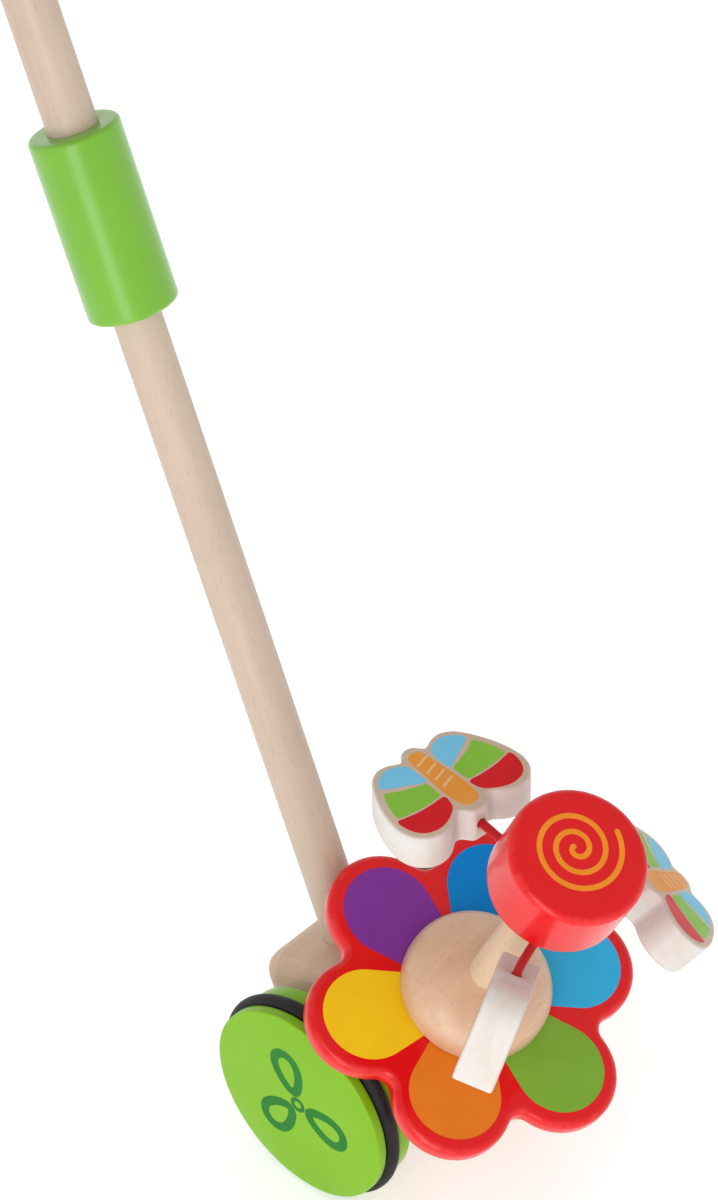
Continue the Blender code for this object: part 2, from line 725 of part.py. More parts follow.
def wire_path(pose):
    """Centre line of a wire: up into the cap at one end, along the butterfly's body at the other."""
    frame = fly_frame(pose)
    head = frame.to_3x3() @ BACKWARD
    tail = frame.to_translation()
    mouth = flower_point(pose["hole"], wire_hole_radius, cap_bottom_height)
    top = flower_point(pose["hole"], wire_hole_radius, cap_bottom_height + wire_cap_length)
    start = mouth - UP * wire_straight_length
    finish = tail - head * wire_straight_length
    pull = (finish - start).length * wire_pull_share
    path = [top, mouth]
    for step in range(wire_steps + 1):
        t = step / wire_steps
        blend = ease(t)
        bow = UP * (1 - t) + head * t
        path.append(start * (1 - blend) + finish * blend - bow * (pull * t * (1 - t)))
    path += [tail, tail + head * wire_fly_length]
    return path


def build_wire(index, pose, mat):
    """Red coated wire swept along its path."""
    path = wire_path(pose)
    origin = fly_frame(pose).to_translation()
    body = bmesh.new()
    rings = []
    side = RIGHTWARD
    for i, point in enumerate(path):
        along = (path[min(i + 1, len(path) - 1)] - path[max(i - 1, 0)]).normalized()
        side = (side - along * side.dot(along)).normalized()
        other = along.cross(side)
        ring = []
        for step in range(wire_sides):
            angle = FULL_TURN * step / wire_sides
            outward = side * math.cos(angle) + other * math.sin(angle)
            ring.append(body.verts.new(point - origin + outward * wire_radius))
        rings.append(ring)
    for low, high in zip(rings, rings[1:]):
        for step in range(wire_sides):
            after = (step + 1) % wire_sides
            body.faces.new((low[step], low[after], high[after], high[step]))
    body.faces.new(rings[0][::-1])
    body.faces.new(rings[-1])
    place = FLOWER @ Matrix.Translation(origin)
    add_object("butterfly_wire_%d" % (index + 1), body, place, mat["wire"])


def main():
    """Build the whole toy in an empty scene."""
    for item in list(bpy.data.objects):
        bpy.data.objects.remove(item, do_unlink=True)
    mat = make_materials()
    build_block(mat)
    build_stick(mat)
    build_sleeve(mat)
    build_axle(mat)
    build_disc(mat)
    build_dome(mat)
    build_spindle(mat)
    build_cap(mat)
    build_butterflies(mat)


main()
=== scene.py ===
import math

import bmesh
import bpy
from mathutils import Matrix, Vector


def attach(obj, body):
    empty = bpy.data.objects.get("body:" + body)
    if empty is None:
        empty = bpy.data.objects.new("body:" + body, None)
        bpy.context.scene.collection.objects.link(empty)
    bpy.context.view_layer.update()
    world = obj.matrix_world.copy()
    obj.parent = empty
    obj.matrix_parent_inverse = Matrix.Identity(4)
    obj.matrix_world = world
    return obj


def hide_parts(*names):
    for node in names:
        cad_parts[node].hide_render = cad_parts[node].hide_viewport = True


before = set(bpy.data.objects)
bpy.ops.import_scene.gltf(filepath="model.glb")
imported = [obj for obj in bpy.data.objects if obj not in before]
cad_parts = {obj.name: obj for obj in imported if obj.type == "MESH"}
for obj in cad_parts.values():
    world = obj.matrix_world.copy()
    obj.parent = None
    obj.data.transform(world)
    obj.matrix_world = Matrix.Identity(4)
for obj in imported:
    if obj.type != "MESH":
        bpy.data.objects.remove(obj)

MM = 0.001
DEG = math.pi / 180.0
TAU = 2.0 * math.pi
SHARP_ANGLE = 40.0 * DEG
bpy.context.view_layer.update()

# Sizes, the same as in the CAD model unless a comment says otherwise
AXLE_FORWARD = 12.0 * MM
AXLE_HEIGHT = 19.5 * MM
WHEEL_RADIUS = 41.3 * MM
WHEEL_WIDTH = 17.5 * MM
WHEEL_FACE = 56.5 * MM
WHEEL_ROUND = 0.7 * MM
GROOVE_FROM_FACE = 4.4 * MM
RING_TUBE = 3.8 * MM
RING_STANDOUT = 2.4 * MM
RING_SHOWN = 3.1 * MM  # the ring's section here: the photo's looks thinner than the CAD's RING_TUBE
GLUE_GAP = 0.15 * MM
SNUG_GAP = 0.02 * MM  # round stick and peg, where the CAD has GLUE_GAP: no dark ring shows
RUNNING_GAP = 0.3 * MM
AXLE_RADIUS = 3.0 * MM
AXLE_SEAT = 13.0 * MM
WHEEL_BORE_CHAMFER = 0.4 * MM
DOWEL_ROUND = 0.8 * MM
STICK_LEAN = 22.77 * DEG
STICK_OFFSET = 12.9 * MM
BLOCK_TOP = 39.5 * MM
STICK_SOCKET = 30.0 * MM
STICK_JOINT = 340.0 * MM
STICK_TOP = 554.0 * MM
LOWER_RADIUS = 9.0 * MM
UPPER_RADIUS = 9.35 * MM
SLEEVE_RADIUS = 16.9 * MM
SLEEVE_BOTTOM = 304.0 * MM
SLEEVE_TOP = 374.0 * MM
SLEEVE_ROUND = 1.8 * MM
SLEEVE_MOUTH_ROUND = 0.2 * MM
FLOWER_LEAN = 26.14 * DEG
FLOWER_SIDE_LEAN = 4.8 * DEG
FLOWER_OFFSET = 13.4 * MM
PETALS = 6
PETAL_PHASE = -23.6 * DEG
PETAL_CENTRE = 43.4 * MM
PETAL_RADIUS = 22.8 * MM
PETAL_NOTCH = 50.3 * MM
DISC_THICKNESS = 9.0 * MM
DISC_ROUND = 2.8 * MM
DOME_RADIUS = 28.8 * MM
DOME_HEIGHT = 17.5 * MM
DOME_FOOT_ROUND = 1.2 * MM
DOME_SHOULDER = 3.5 * MM
DOME_SHARE = 0.82
DOME_MOUTH_MARGIN = 0.8 * MM
PEG_RADIUS = 7.2 * MM
PEG_TAIL = 32.0 * MM
CAP_RADIUS = 25.6 * MM
CAP_BOTTOM = 98.7 * MM
CAP_THICKNESS = 27.2 * MM
CAP_TOP_ROUND = 2.8 * MM
CAP_BOTTOM_ROUND = 1.6 * MM
CAP_SOCKET = 13.0 * MM
CAP_MOUTH_CHAMFER = 0.5 * MM
WIRE_RADIUS = 1.7 * MM
WIRE_HOLE = 20.0 * MM
WIRE_IN_CAP = 9.4 * MM
WIRE_IN_FLY = 9.0 * MM
WIRE_STRAIGHT = 2.0 * MM
WIRE_PULL = 0.9
FLY_HALF_SPAN = 29.5 * MM
FLY_LENGTH = 38.8 * MM
FLY_THICKNESS = 15.0 * MM
FLY_ROUND = 1.0 * MM
FLY_TAIL_HEIGHT = 88.0 * MM
FLY_HOLE_DEPTH = 10.0 * MM
FLY_OUTLINE = (
    (0.000, -0.030), (0.085, -0.028), (0.139, 0.000), (0.186, 0.046), (0.241, 0.078),
    (0.302, 0.071), (0.369, 0.033), (0.451, -0.010), (0.539, -0.038), (0.641, -0.048),
    (0.739, -0.035), (0.854, 0.010), (0.956, 0.106), (1.000, 0.233), (0.986, 0.367),
    (0.939, 0.519), (0.861, 0.668), (0.769, 0.803), (0.675, 0.901), (0.576, 0.957),
    (0.468, 0.980), (0.353, 0.967), (0.261, 0.932), (0.203, 0.916), (0.156, 0.944),
    (0.102, 0.992), (0.041, 1.015), (0.000, 1.018),
)
FLY_POSES = (
    {"angle": 89.3, "reach": 36.0, "heading": 85.2, "droop": 26.6, "roll": 1.0, "hole": 90.0},
    {"angle": -34.7, "reach": 32.6, "heading": -12.1, "droop": 42.6, "roll": -3.8, "hole": -30.0},
    {"angle": -153.8, "reach": 34.0, "heading": -147.9, "droop": 42.2, "roll": -79.8,
     "hole": -150.0},
)

# How finely the turned pieces are divided
STICK_MARGIN = 4.0 * MM
PEG_MARGIN = 3.0 * MM
STICK_DOME_MARGIN = 2.0 * MM
STICK_SEGMENTS = 48
SLEEVE_SEGMENTS = 72
WHEEL_SEGMENTS = 120
DOME_SEGMENTS = 96
TUBE_SEGMENTS = 24
WIRE_SEGMENTS = 20
FACE_RINGS = (0.66, 0.33)
LOWER_BANDS = 40
UPPER_BANDS = 30
SLEEVE_BANDS = 12
PEG_BANDS = 24
CAP_BANDS = 6
STICK_DOME_STEPS = 8
DOME_STEPS = 22
WIRE_STEPS = 20
PETAL_PAINT_STEPS = 40
SPIRAL_STEPS = 150
LINE_END_STEPS = 8
PATCH_STEPS = 4
SMALL_CORNER_STEPS = 4
MOUTH_STEPS = 3

# Wear on bare edges, from 0 to 1
STICK_DOME_WEAR = 0.4
STICK_TIP_WEAR = 0.3
CAP_MOUTH_WEAR = 0.5
RING_WEAR_FADE = 3

# How far paint stands above its face and reaches below it
PAINT_RISE = 0.06 * MM
PAINT_SINK = 0.10 * MM

# Painted outlines, as plain numbers of mm on the face that they lie on
PETAL_PAINT_CENTRE = 42.8
PETAL_PAINT_RADIUS = 17.6
PETAL_PAINT_TAPER = 17.8 * DEG
PETAL_PAINT_FOOT = 22.0
PETAL_ORDER = ("paint_light_blue", "paint_dark_blue", "paint_purple", "paint_yellow",
               "paint_orange", "paint_green")
SPIRAL_CENTRE = Vector((1.0, 2.5))
SPIRAL_OUTER = 17.0
SPIRAL_PITCH = 6.0
SPIRAL_TURNS = 2.64
SPIRAL_START = -15.0 * DEG
SPIRAL_WIDTH = 2.0
LEAF_START = 5.8
LEAF_LENGTH = 17.8
LEAF_HALF_WIDTH = 7.3
LEAF_LINE = 4.1
LEAF_TAPER = 0.55
LEAF_STEPS = 28
LEAF_COUNT = 3
MOTIF_RING_RADIUS = 2.6
MOTIF_RING_LINE = 1.8
MOTIF_TURNS = {"right": 20.0 * DEG, "left": 95.0 * DEG}
# Right-hand wing patches of a butterfly: across from its middle, and along from its tail
WING_PATCHES = {
    "wing_blue": (
        (5.3, 22.6), (5.2, 27.5), (5.8, 31.9), (8.2, 34.4), (12.0, 35.5), (15.0, 35.1),
        (18.0, 33.3), (20.0, 30.8), (20.3, 29.5), (17.0, 27.2), (12.0, 24.7), (7.5, 22.3),
        (6.0, 21.9),
    ),
    "wing_green": (
        (6.3, 20.2), (7.6, 21.3), (12.0, 22.8), (16.5, 24.6), (20.5, 26.8), (21.8, 26.1),
        (23.8, 21.6), (25.2, 17.2), (25.4, 14.9), (24.6, 13.9), (20.0, 13.1), (14.0, 12.6),
        (8.0, 12.9), (6.5, 13.6), (6.2, 16.7),
    ),
    "wing_red": (
        (6.2, 11.8), (12.0, 11.7), (18.0, 11.9), (24.5, 13.0), (26.5, 13.3), (27.1, 11.4),
        (26.6, 7.9), (25.2, 4.5), (22.6, 2.0), (18.6, 0.8), (14.5, 1.3), (10.5, 3.2), (7.4, 5.7),
        (6.2, 8.4),
    ),
}
BODY_STRIP = (
    (0.0, 2.7), (2.6, 3.3), (4.2, 5.9), (4.8, 10.8), (4.7, 15.7), (4.2, 22.6), (3.7, 29.5),
    (3.4, 33.4), (2.2, 35.4), (0.0, 35.9),
)
BODY_BARS = (16.7, 21.1, 25.5, 30.5)
BAR_PATH = ((-2.5, -0.8), (0.2, 0.1), (3.0, 1.0))
BAR_LINE = 1.0

# Studio: a pale floor, an even sky and one tall soft light low on the toy's front right
FLOOR_HALF = 6.0
FLOOR_GLOW = 0.36
FLOOR_WHITES = ((0.94, 0.94, 0.94, 1.0), (0.96, 0.96, 0.96, 1.0))
WHITE = (1.0, 1.0, 1.0, 1.0)
SKY_SIDE = 1.0
SKY_OVERHEAD = 0.6
SKY_FADE_FROM = 0.1
SKY_FADE_TO = 0.9
LAMP_PLACE = Vector((-0.92, -0.55, 0.45))
LAMP_AIM = Vector((0.0, -0.02, 0.15))
LAMP_WIDTH = 0.5
LAMP_HEIGHT = 1.3
LAMP_POWER = 5.6

# Camera, fitted to the photo; its place is from the axle's centre
CAMERA_PLACE = Vector((-0.8136, -0.7287, 1.1442))
CAMERA_BACK = Vector((-0.5598, -0.5157, 0.6486))
CAMERA_RIGHT = Vector((0.6775, -0.7355, 0.0))
CAMERA_LENS = 82.142
CAMERA_SENSOR = 24.0
CAMERA_NEAR = 0.05
CAMERA_FAR = 50.0

UP = Vector((0.0, 0.0, 1.0))
XDIR = Vector((1.0, 0.0, 0.0))
YDIR = Vector((0.0, 1.0, 0.0))
axle_centre = Vector((0.0, -AXLE_FORWARD, AXLE_HEIGHT))
stick_dir = Vector((0.0, math.sin(STICK_LEAN), math.cos(STICK_LEAN)))
stick_back = Vector((0.0, math.cos(STICK_LEAN), -math.sin(STICK_LEAN)))
upright = Vector((0.0, -math.sin(FLOWER_LEAN), math.cos(FLOWER_LEAN)))
downhill = Vector((0.0, -math.cos(FLOWER_LEAN), -math.sin(FLOWER_LEAN)))
spindle = upright * math.cos(FLOWER_SIDE_LEAN) - XDIR * math.sin(FLOWER_SIDE_LEAN)
ring_centre_radius = WHEEL_RADIUS + RING_STANDOUT - RING_TUBE
groove_half = RING_TUBE + GLUE_GAP
ring_plane = WHEEL_FACE - GROOVE_FROM_FACE - groove_half
disc_top = (ring_plane * math.sin(FLOWER_SIDE_LEAN)
            + ring_centre_radius * math.cos(FLOWER_SIDE_LEAN)
            + RING_TUBE + RUNNING_GAP + DISC_THICKNESS)
flower_centre = (axle_centre + downhill * FLOWER_OFFSET
                 + upright * (disc_top / math.cos(FLOWER_SIDE_LEAN)))
cap_top = CAP_BOTTOM + CAP_THICKNESS
stick_foot = BLOCK_TOP - STICK_SOCKET + GLUE_GAP


def axes_matrix(origin, x, y, z):
    """Frame with its origin and its three axes given."""
    return Matrix.Translation(origin) @ Matrix((x, y, z)).transposed().to_4x4()


def place_matrix(origin, z_axis, x_hint):
    """Frame along a Z axis, with X as near to the hint as it can be."""
    z = z_axis.normalized()
    x = (x_hint - z * x_hint.dot(z)).normalized()
    return axes_matrix(origin, x, z.cross(x), z)


def polar(angle, radius, *height):
    """Point by angle and distance from the middle; the height makes it a point in space."""
    return Vector((radius * math.cos(angle), radius * math.sin(angle), *height))


FLOWER = place_matrix(flower_centre, spindle, XDIR)
STICK = place_matrix(axle_centre + stick_back * STICK_OFFSET, stick_dir, XDIR)
AXLE_RIGHT = place_matrix(axle_centre, -XDIR, UP)
AXLE_LEFT = place_matrix(axle_centre, XDIR, UP)

# ---------------------------------------------------------------- materials


# Socket numbers of Blender's nodes that share one name
MIX_COLOR_INPUTS = (0, 6, 7)
MIX_COLOR_OUTPUT = 2
OBJECT_COORDINATES = 3

# Stretch of the wood's streaks and ray flecks along the grain
STREAK_STRETCH = (1.0, 1.0, 0.06)
FLECK_STRETCH = (1.0, 1.0, 0.2)
GRAIN_TURNS = {"Z": (0.0, 0.0, 0.0), "X": (0.0, 90.0 * DEG, 0.0), "Y": (90.0 * DEG, 0.0, 0.0)}


class Tree:
    """Short calls for a material's node tree."""

    def __init__(self, name, on_node=False):
        self.on_node = on_node
        self.material = bpy.data.materials.new(name)
        self.material.use_nodes = True
        self.nodes = self.material.node_tree.nodes
        self.links = self.material.node_tree.links
        self.surface = self.nodes["Principled BSDF"]

    def put(self, socket, value):
        if isinstance(value, bpy.types.NodeSocket):
            self.links.new(value, socket)
        else:
            socket.default_value = value

    def node(self, kind, out=0, props=None, **inputs):
        made = self.nodes.new(kind)
        for key, value in (props or {}).items():
            setattr(made, key, value)
        for key, value in inputs.items():
            self.put(made.inputs[key.replace("_", " ")], value)
        return made.outputs[out]

    def math(self, operation, a, b, clamp=False):
        made = self.nodes.new("ShaderNodeMath")
        made.operation = operation
        made.use_clamp = clamp
        self.put(made.inputs[0], a)
        self.put(made.inputs[1], b)
        return made.outputs[0]

    def mix(self, factor, a, b):
        made = self.nodes.new("ShaderNodeMix")
        made.data_type = "RGBA"
        for index, value in zip(MIX_COLOR_INPUTS, (factor, a, b)):
            self.put(made.inputs[index], value)
        return made.outputs[MIX_COLOR_OUTPUT]

    def span(self, value, low, high, to_low=0.0, to_high=1.0):
        made = self.nodes.new("ShaderNodeMapRange")
        for index, number in enumerate((value, low, high, to_low, to_high)):
            self.put(made.inputs[index], number)
        return made.outputs[0]

    def place(self, scale=(1.0, 1.0, 1.0), rotation=(0.0, 0.0, 0.0)):
        """Texture place: a carried-over node's own, or the "local" attribute of a made piece."""
        if self.on_node:
            where = self.node("ShaderNodeTexCoord", out=OBJECT_COORDINATES)
        else:
            where = self.attribute("local").outputs["Vector"]
        return self.mapping(where, scale, rotation)

    def mapping(self, vector, scale, rotation=(0.0, 0.0, 0.0)):
        made = self.nodes.new("ShaderNodeMapping")
        made.inputs["Scale"].default_value = scale
        made.inputs["Rotation"].default_value = rotation
        self.links.new(vector, made.inputs["Vector"])
        return made.outputs[0]

    def noise(self, vector, scale, detail=4.0, rough=0.5, distortion=0.0):
        return self.node("ShaderNodeTexNoise", Vector=vector, Scale=scale, Detail=detail,
                         Roughness=rough, Distortion=distortion)

    def bump(self, height, strength, distance):
        made = self.nodes.new("ShaderNodeBump")
        made.inputs["Strength"].default_value = strength
        made.inputs["Distance"].default_value = distance
        self.links.new(height, made.inputs["Height"])
        return made.outputs[0]

    def attribute(self, name):
        made = self.nodes.new("ShaderNodeAttribute")
        made.attribute_name = name
        return made

    def edge(self):
        """1 on worn edges, 0 elsewhere, from the mesh's own attribute."""
        return self.attribute("edge").outputs["Fac"]

    def set(self, **inputs):
        for key, value in inputs.items():
            self.put(self.surface.inputs[key.replace("_", " ")], value)
        return self.material


def rgb(red, green, blue):
    """Linear colour from 0 to 255 display values."""
    linear = []
    for value in (red, green, blue):
        v = value / 255.0
        linear.append(v / 12.92 if v <= 0.04045 else ((v + 0.055) / 1.055) ** 2.4)
    return (*linear, 1.0)


def wood(name, light, dark, fleck, grain="Z", contrast=1.0, shine=0.42, coat=0.12, on_node=False,
         wall=None):
    """Sanded beech: soft streaks, ray flecks and growth bands; wall is a saw-cut side's colour."""
    t = Tree(name, on_node)
    along = t.place(rotation=GRAIN_TURNS[grain])
    long_grain = t.mapping(along, STREAK_STRETCH)
    broad = t.noise(long_grain, 60.0, detail=3.0, rough=0.55, distortion=0.6)
    streaks = t.noise(long_grain, 420.0, detail=5.0, rough=0.6, distortion=0.3)
    bands = t.node("ShaderNodeTexWave", props={"wave_type": "RINGS", "rings_direction": "Z"},
                   Vector=long_grain, Scale=42.0, Distortion=7.0, Detail=3.0, Detail_Scale=1.4)
    rays = t.noise(t.mapping(along, FLECK_STRETCH), 900.0, detail=1.0, rough=0.4)
    ray_mask = t.span(rays, 0.60, 0.74)
    mottled = t.noise(along, 38.0, detail=2.0, rough=0.5)
    tone = t.math("ADD", t.math("MULTIPLY", broad, 0.6), t.math("MULTIPLY", streaks, 0.4))
    tone = t.span(tone, 0.34, 0.68)
    color = t.mix(t.math("MULTIPLY", tone, contrast, clamp=True), light, dark)
    color = t.mix(t.math("MULTIPLY", bands, 0.18 * contrast), color, dark)
    color = t.mix(t.math("MULTIPLY", t.span(mottled, 0.45, 0.75), 0.18 * contrast), color, fleck)
    color = t.mix(t.math("MULTIPLY", ray_mask, 0.30 * contrast), color, fleck)
    if wall is not None:
        cut = t.mix(t.math("MULTIPLY", tone, 0.5), wall, light)
        color = t.mix(t.attribute("wall").outputs["Fac"], color, cut)
    color = t.mix(t.math("MULTIPLY", t.edge(), 0.15), color, fleck)
    height = t.math("ADD", t.math("MULTIPLY", streaks, 0.7), t.math("MULTIPLY", rays, 0.3))
    rough = t.span(streaks, 0.3, 0.7, shine - 0.05, shine + 0.10)
    return t.set(Base_Color=color, Roughness=rough, Normal=t.bump(height, 0.2, 0.06 * MM),
                 Specular_IOR_Level=0.4, Coat_Weight=coat, Coat_Roughness=0.35)


def lacquer(name, color, deep, pale, shine=0.3, coat=0.2, gloss=0.2, blur=0.22):
    """Sprayed lacquer over sanded wood: orange peel, faint grain telegraphing, edges worn thin."""
    t = Tree(name)
    where = t.place()
    peel = t.noise(where, 420.0, detail=3.0, rough=0.5)
    cloud = t.noise(where, 22.0, detail=3.0, rough=0.5)
    grain = t.node("ShaderNodeTexNoise", Vector=t.place(scale=(1.0, 0.08, 1.0)), Scale=520.0,
                   Detail=3.0)
    specks = t.span(t.noise(where, 1500.0, detail=1.0, rough=0.3), 0.74, 0.80)
    shade = t.mix(t.span(cloud, 0.3, 0.7, 0.0, 0.55), color, deep)
    shade = t.mix(t.math("MULTIPLY", t.span(grain, 0.45, 0.75), 0.10), shade, deep)
    shade = t.mix(t.math("MULTIPLY", specks, 0.10), shade, pale)
    edge = t.edge()
    patchy = t.span(t.noise(where, 160.0, detail=4.0, rough=0.6), 0.42, 0.68)
    worn = t.math("MULTIPLY", edge, patchy)
    shade = t.mix(t.math("MULTIPLY", worn, 0.35), shade, pale)
    even = t.span(cloud, 0.3, 0.7, shine - 0.04, shine + 0.05)
    rough = t.math("ADD", even, t.math("MULTIPLY", worn, 0.15))
    height = t.math("ADD", t.math("MULTIPLY", peel, 0.6), t.math("MULTIPLY", grain, 0.4))
    return t.set(Base_Color=shade, Roughness=rough, Normal=t.bump(height, 0.22, 0.06 * MM),
                 Coat_Weight=coat, Coat_Roughness=blur, Specular_IOR_Level=gloss)


def print_paint(name, color, deep):
    """Screen printed paint: flat, slightly uneven film with tiny pinholes."""
    t = Tree(name)
    where = t.place()
    cloud = t.noise(where, 60.0, detail=4.0, rough=0.6)
    pores = t.noise(where, 900.0, detail=2.0, rough=0.5)
    shade = t.mix(t.span(cloud, 0.32, 0.7, 0.0, 0.6), color, deep)
    shade = t.mix(t.math("MULTIPLY", t.span(pores, 0.66, 0.76), 0.18), shade, deep)
    rough = t.span(cloud, 0.3, 0.7, 0.32, 0.44)
    return t.set(Base_Color=shade, Roughness=rough, Normal=t.bump(pores, 0.18, 0.05 * MM),
                 Coat_Weight=0.05, Coat_Roughness=0.3, Specular_IOR_Level=0.12)


def rubber(name):
    """Black rubber, matt, a little dusty where it rolls."""
    t = Tree(name)
    where = t.place()
    fine = t.noise(where, 1400.0, detail=3.0, rough=0.6)
    dust = t.noise(where, 90.0, detail=5.0, rough=0.65)
    scuff = t.math("MULTIPLY", t.edge(), t.span(dust, 0.38, 0.7))
    shade = t.mix(t.span(dust, 0.35, 0.75, 0.0, 0.6), rgb(15, 15, 16), rgb(30, 29, 31))
    shade = t.mix(t.math("MULTIPLY", scuff, 0.4), shade, rgb(66, 63, 60))
    rough = t.span(dust, 0.3, 0.7, 0.48, 0.66)
    return t.set(Base_Color=shade, Roughness=rough, Normal=t.bump(fine, 0.35, 0.08 * MM),
                 Specular_IOR_Level=0.25)


def nylon(name):
    """Moulded natural nylon."""
    t = Tree(name, on_node=True)
    where = t.place()
    fine = t.noise(where, 900.0, detail=3.0, rough=0.5)
    cloud = t.noise(where, 70.0, detail=3.0, rough=0.5)
    shade = t.mix(t.span(cloud, 0.3, 0.7), rgb(232, 230, 220), rgb(214, 210, 196))
    rough = t.span(cloud, 0.3, 0.7, 0.38, 0.5)
    return t.set(Base_Color=shade, Roughness=rough, Normal=t.bump(fine, 0.15, 0.04 * MM))


def steel(name):
    """Zinc plated steel with fine drawing lines."""
    t = Tree(name, on_node=True)
    lines = t.node("ShaderNodeTexNoise", Vector=t.place(scale=(1.0, 1.0, 0.02)), Scale=2600.0,
                   Detail=3.0)
    cloud = t.noise(t.place(), 120.0, detail=4.0, rough=0.6)
    shade = t.mix(t.span(cloud, 0.3, 0.7), rgb(196, 198, 200), rgb(150, 152, 158))
    return t.set(Base_Color=shade, Metallic=1.0, Roughness=t.span(cloud, 0.3, 0.7, 0.24, 0.42),
                 Normal=t.bump(lines, 0.2, 0.03 * MM))


MAT = {
    "beech": wood("beech_long_grain", rgb(202, 182, 163), rgb(187, 165, 144), rgb(168, 141, 118),
                  contrast=0.7),
    "block": wood("beech_block", rgb(215, 183, 157), rgb(199, 166, 139), rgb(175, 142, 115),
                  grain="X", on_node=True),
    "dome": wood("beech_turned", rgb(224, 187, 156), rgb(207, 166, 133), rgb(184, 143, 112),
                 grain="X", shine=0.36, coat=0.6),
    "peg": wood("beech_peg", rgb(226, 203, 177), rgb(212, 184, 154), rgb(188, 157, 127)),
    "fly": wood("beech_pale", rgb(206, 183, 160), rgb(194, 169, 144), rgb(172, 142, 116),
                grain="Y", contrast=0.9, shine=0.46, wall=rgb(216, 214, 212)),
    "dowel": wood("beech_dowel", rgb(210, 184, 154), rgb(190, 158, 126), rgb(166, 130, 100),
                  on_node=True),
    "green": lacquer("green_lacquer", rgb(126, 181, 24), rgb(114, 168, 18), rgb(160, 200, 90),
                     coat=0.06, gloss=0.14),
    "green_gloss": lacquer("green_gloss_lacquer", rgb(114, 178, 36), rgb(102, 164, 30),
                           rgb(160, 200, 100), coat=0.86, gloss=0.14, blur=0.28),
    "red": lacquer("red_lacquer", rgb(223, 6, 14), rgb(212, 4, 10), rgb(228, 86, 80),
                   coat=0.36, blur=0.1),
    "wire": lacquer("red_wire_coat", rgb(188, 18, 28), rgb(168, 12, 22), rgb(208, 80, 76),
                    shine=0.34, coat=0.1),
    "rubber": rubber("black_rubber"),
    "nylon": nylon("natural_nylon"),
    "steel": steel("zinc_steel"),
    "paint_light_blue": print_paint("paint_light_blue", rgb(57, 177, 225), rgb(48, 166, 216)),
    "paint_dark_blue": print_paint("paint_dark_blue", rgb(0, 130, 208), rgb(0, 119, 197)),
    "paint_purple": print_paint("paint_purple", rgb(129, 54, 153), rgb(117, 45, 141)),
    "paint_yellow": print_paint("paint_yellow", rgb(245, 198, 25), rgb(236, 186, 18)),
    "paint_orange": print_paint("paint_orange", rgb(229, 123, 33), rgb(218, 112, 26)),
    "paint_green": print_paint("paint_green", rgb(127, 173, 60), rgb(117, 162, 50)),
    "paint_motif": print_paint("paint_motif", rgb(24, 121, 33), rgb(18, 109, 27)),
    "paint_spiral": print_paint("paint_spiral", rgb(240, 143, 40), rgb(228, 130, 32)),
    "wing_blue": print_paint("wing_blue", rgb(121, 198, 230), rgb(109, 187, 222)),
    "wing_green": print_paint("wing_green", rgb(135, 193, 60), rgb(123, 180, 50)),
    "wing_red": print_paint("wing_red", rgb(212, 20, 30), rgb(196, 14, 24)),
    "wing_orange": print_paint("wing_orange", rgb(232, 153, 62), rgb(220, 140, 52)),
    "wing_cream": print_paint("wing_cream", rgb(236, 188, 130), rgb(226, 178, 120)),
}

# ---------------------------------------------------------------- mesh helpers


def add_piece(name, body, matrix, material, frame_body, replaced=(), hole=None):
    """Piece at the origin with its place in its mesh; "local" keeps its points' first places."""
    item = plain_object(name, body)
    if hole is not None:
        drill(item, hole)
    mesh = item.data
    mesh.name = name
    mesh.set_sharp_from_angle(angle=SHARP_ANGLE)
    mesh.materials.append(MAT[material])
    local = mesh.attributes.new("local", "FLOAT_VECTOR", "POINT")
    for place, vert in zip(local.data, mesh.vertices):
        place.vector = vert.co
    mesh.transform(matrix)
    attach(item, frame_body)
    if replaced:
        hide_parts(*replaced)
    return item


def plain_object(name, body):
    """Smooth object at the origin from a bmesh."""
    mesh = bpy.data.meshes.new(name)
    bmesh.ops.recalc_face_normals(body, faces=body.faces[:])
    for face in body.faces:
        face.smooth = True
    body.to_mesh(mesh)
    body.free()
    item = bpy.data.objects.new(name, mesh)
    bpy.context.scene.collection.objects.link(item)
    return item


def drill(item, hole):
    """Cuts a bmesh out of an object's mesh, both in the piece's own frame."""
    tool = plain_object("drill", hole)
    cut = item.modifiers.new("hole", "BOOLEAN")
    cut.operation = "DIFFERENCE"
    cut.solver = "EXACT"
    cut.object = tool
    bpy.context.view_layer.update()
    drilled = item.evaluated_get(bpy.context.evaluated_depsgraph_get())
    solid = bpy.data.meshes.new_from_object(drilled)
    item.modifiers.clear()
    item.data = solid
    bpy.data.objects.remove(tool, do_unlink=True)


def lathe(profile, segments, closed=False):
    """Turned bmesh about Z from (radius, height, edge) points."""
    body = bmesh.new()
    worn = body.verts.layers.float.new("edge")
    rings = []
    for radius, height, edge in profile:
        count = 1 if radius == 0.0 else segments
        ring = []
        for step in range(count):
            angle = TAU * step / segments
            vert = body.verts.new(polar(angle, radius, height))
            vert[worn] = edge
            ring.append(vert)
        rings.append(ring)
    pairs = list(zip(rings, rings[1:]))
    if closed:
        pairs.append((rings[-1], rings[0]))
    for low, high in pairs:
        for step in range(segments):
            after = (step + 1) % segments
            corners = (low[step % len(low)], low[after % len(low)],
                       high[after % len(high)], high[step % len(high)])
            body.faces.new(list(dict.fromkeys(corners)))
    return body


def corner(radius, height, size, toward, upward, steps=6):
    """Rounded corner; toward is +1 with material nearer the axis, upward +1 with it above."""
    points = []
    for step in range(steps + 1):
        angle = 90.0 * DEG * step / steps
        points.append((radius - toward * size + toward * size * math.cos(angle),
                       height + upward * size - upward * size * math.sin(angle),
                       math.sin(2.0 * angle)))
    return points


def flat(radius, height):
    return (radius, height, 0.0)


def run_along(radius, bottom, top, steps):
    """Plain stretch of a turned wall, cut into short bands."""
    return [flat(radius, bottom + (top - bottom) * i / steps) for i in range(steps + 1)]


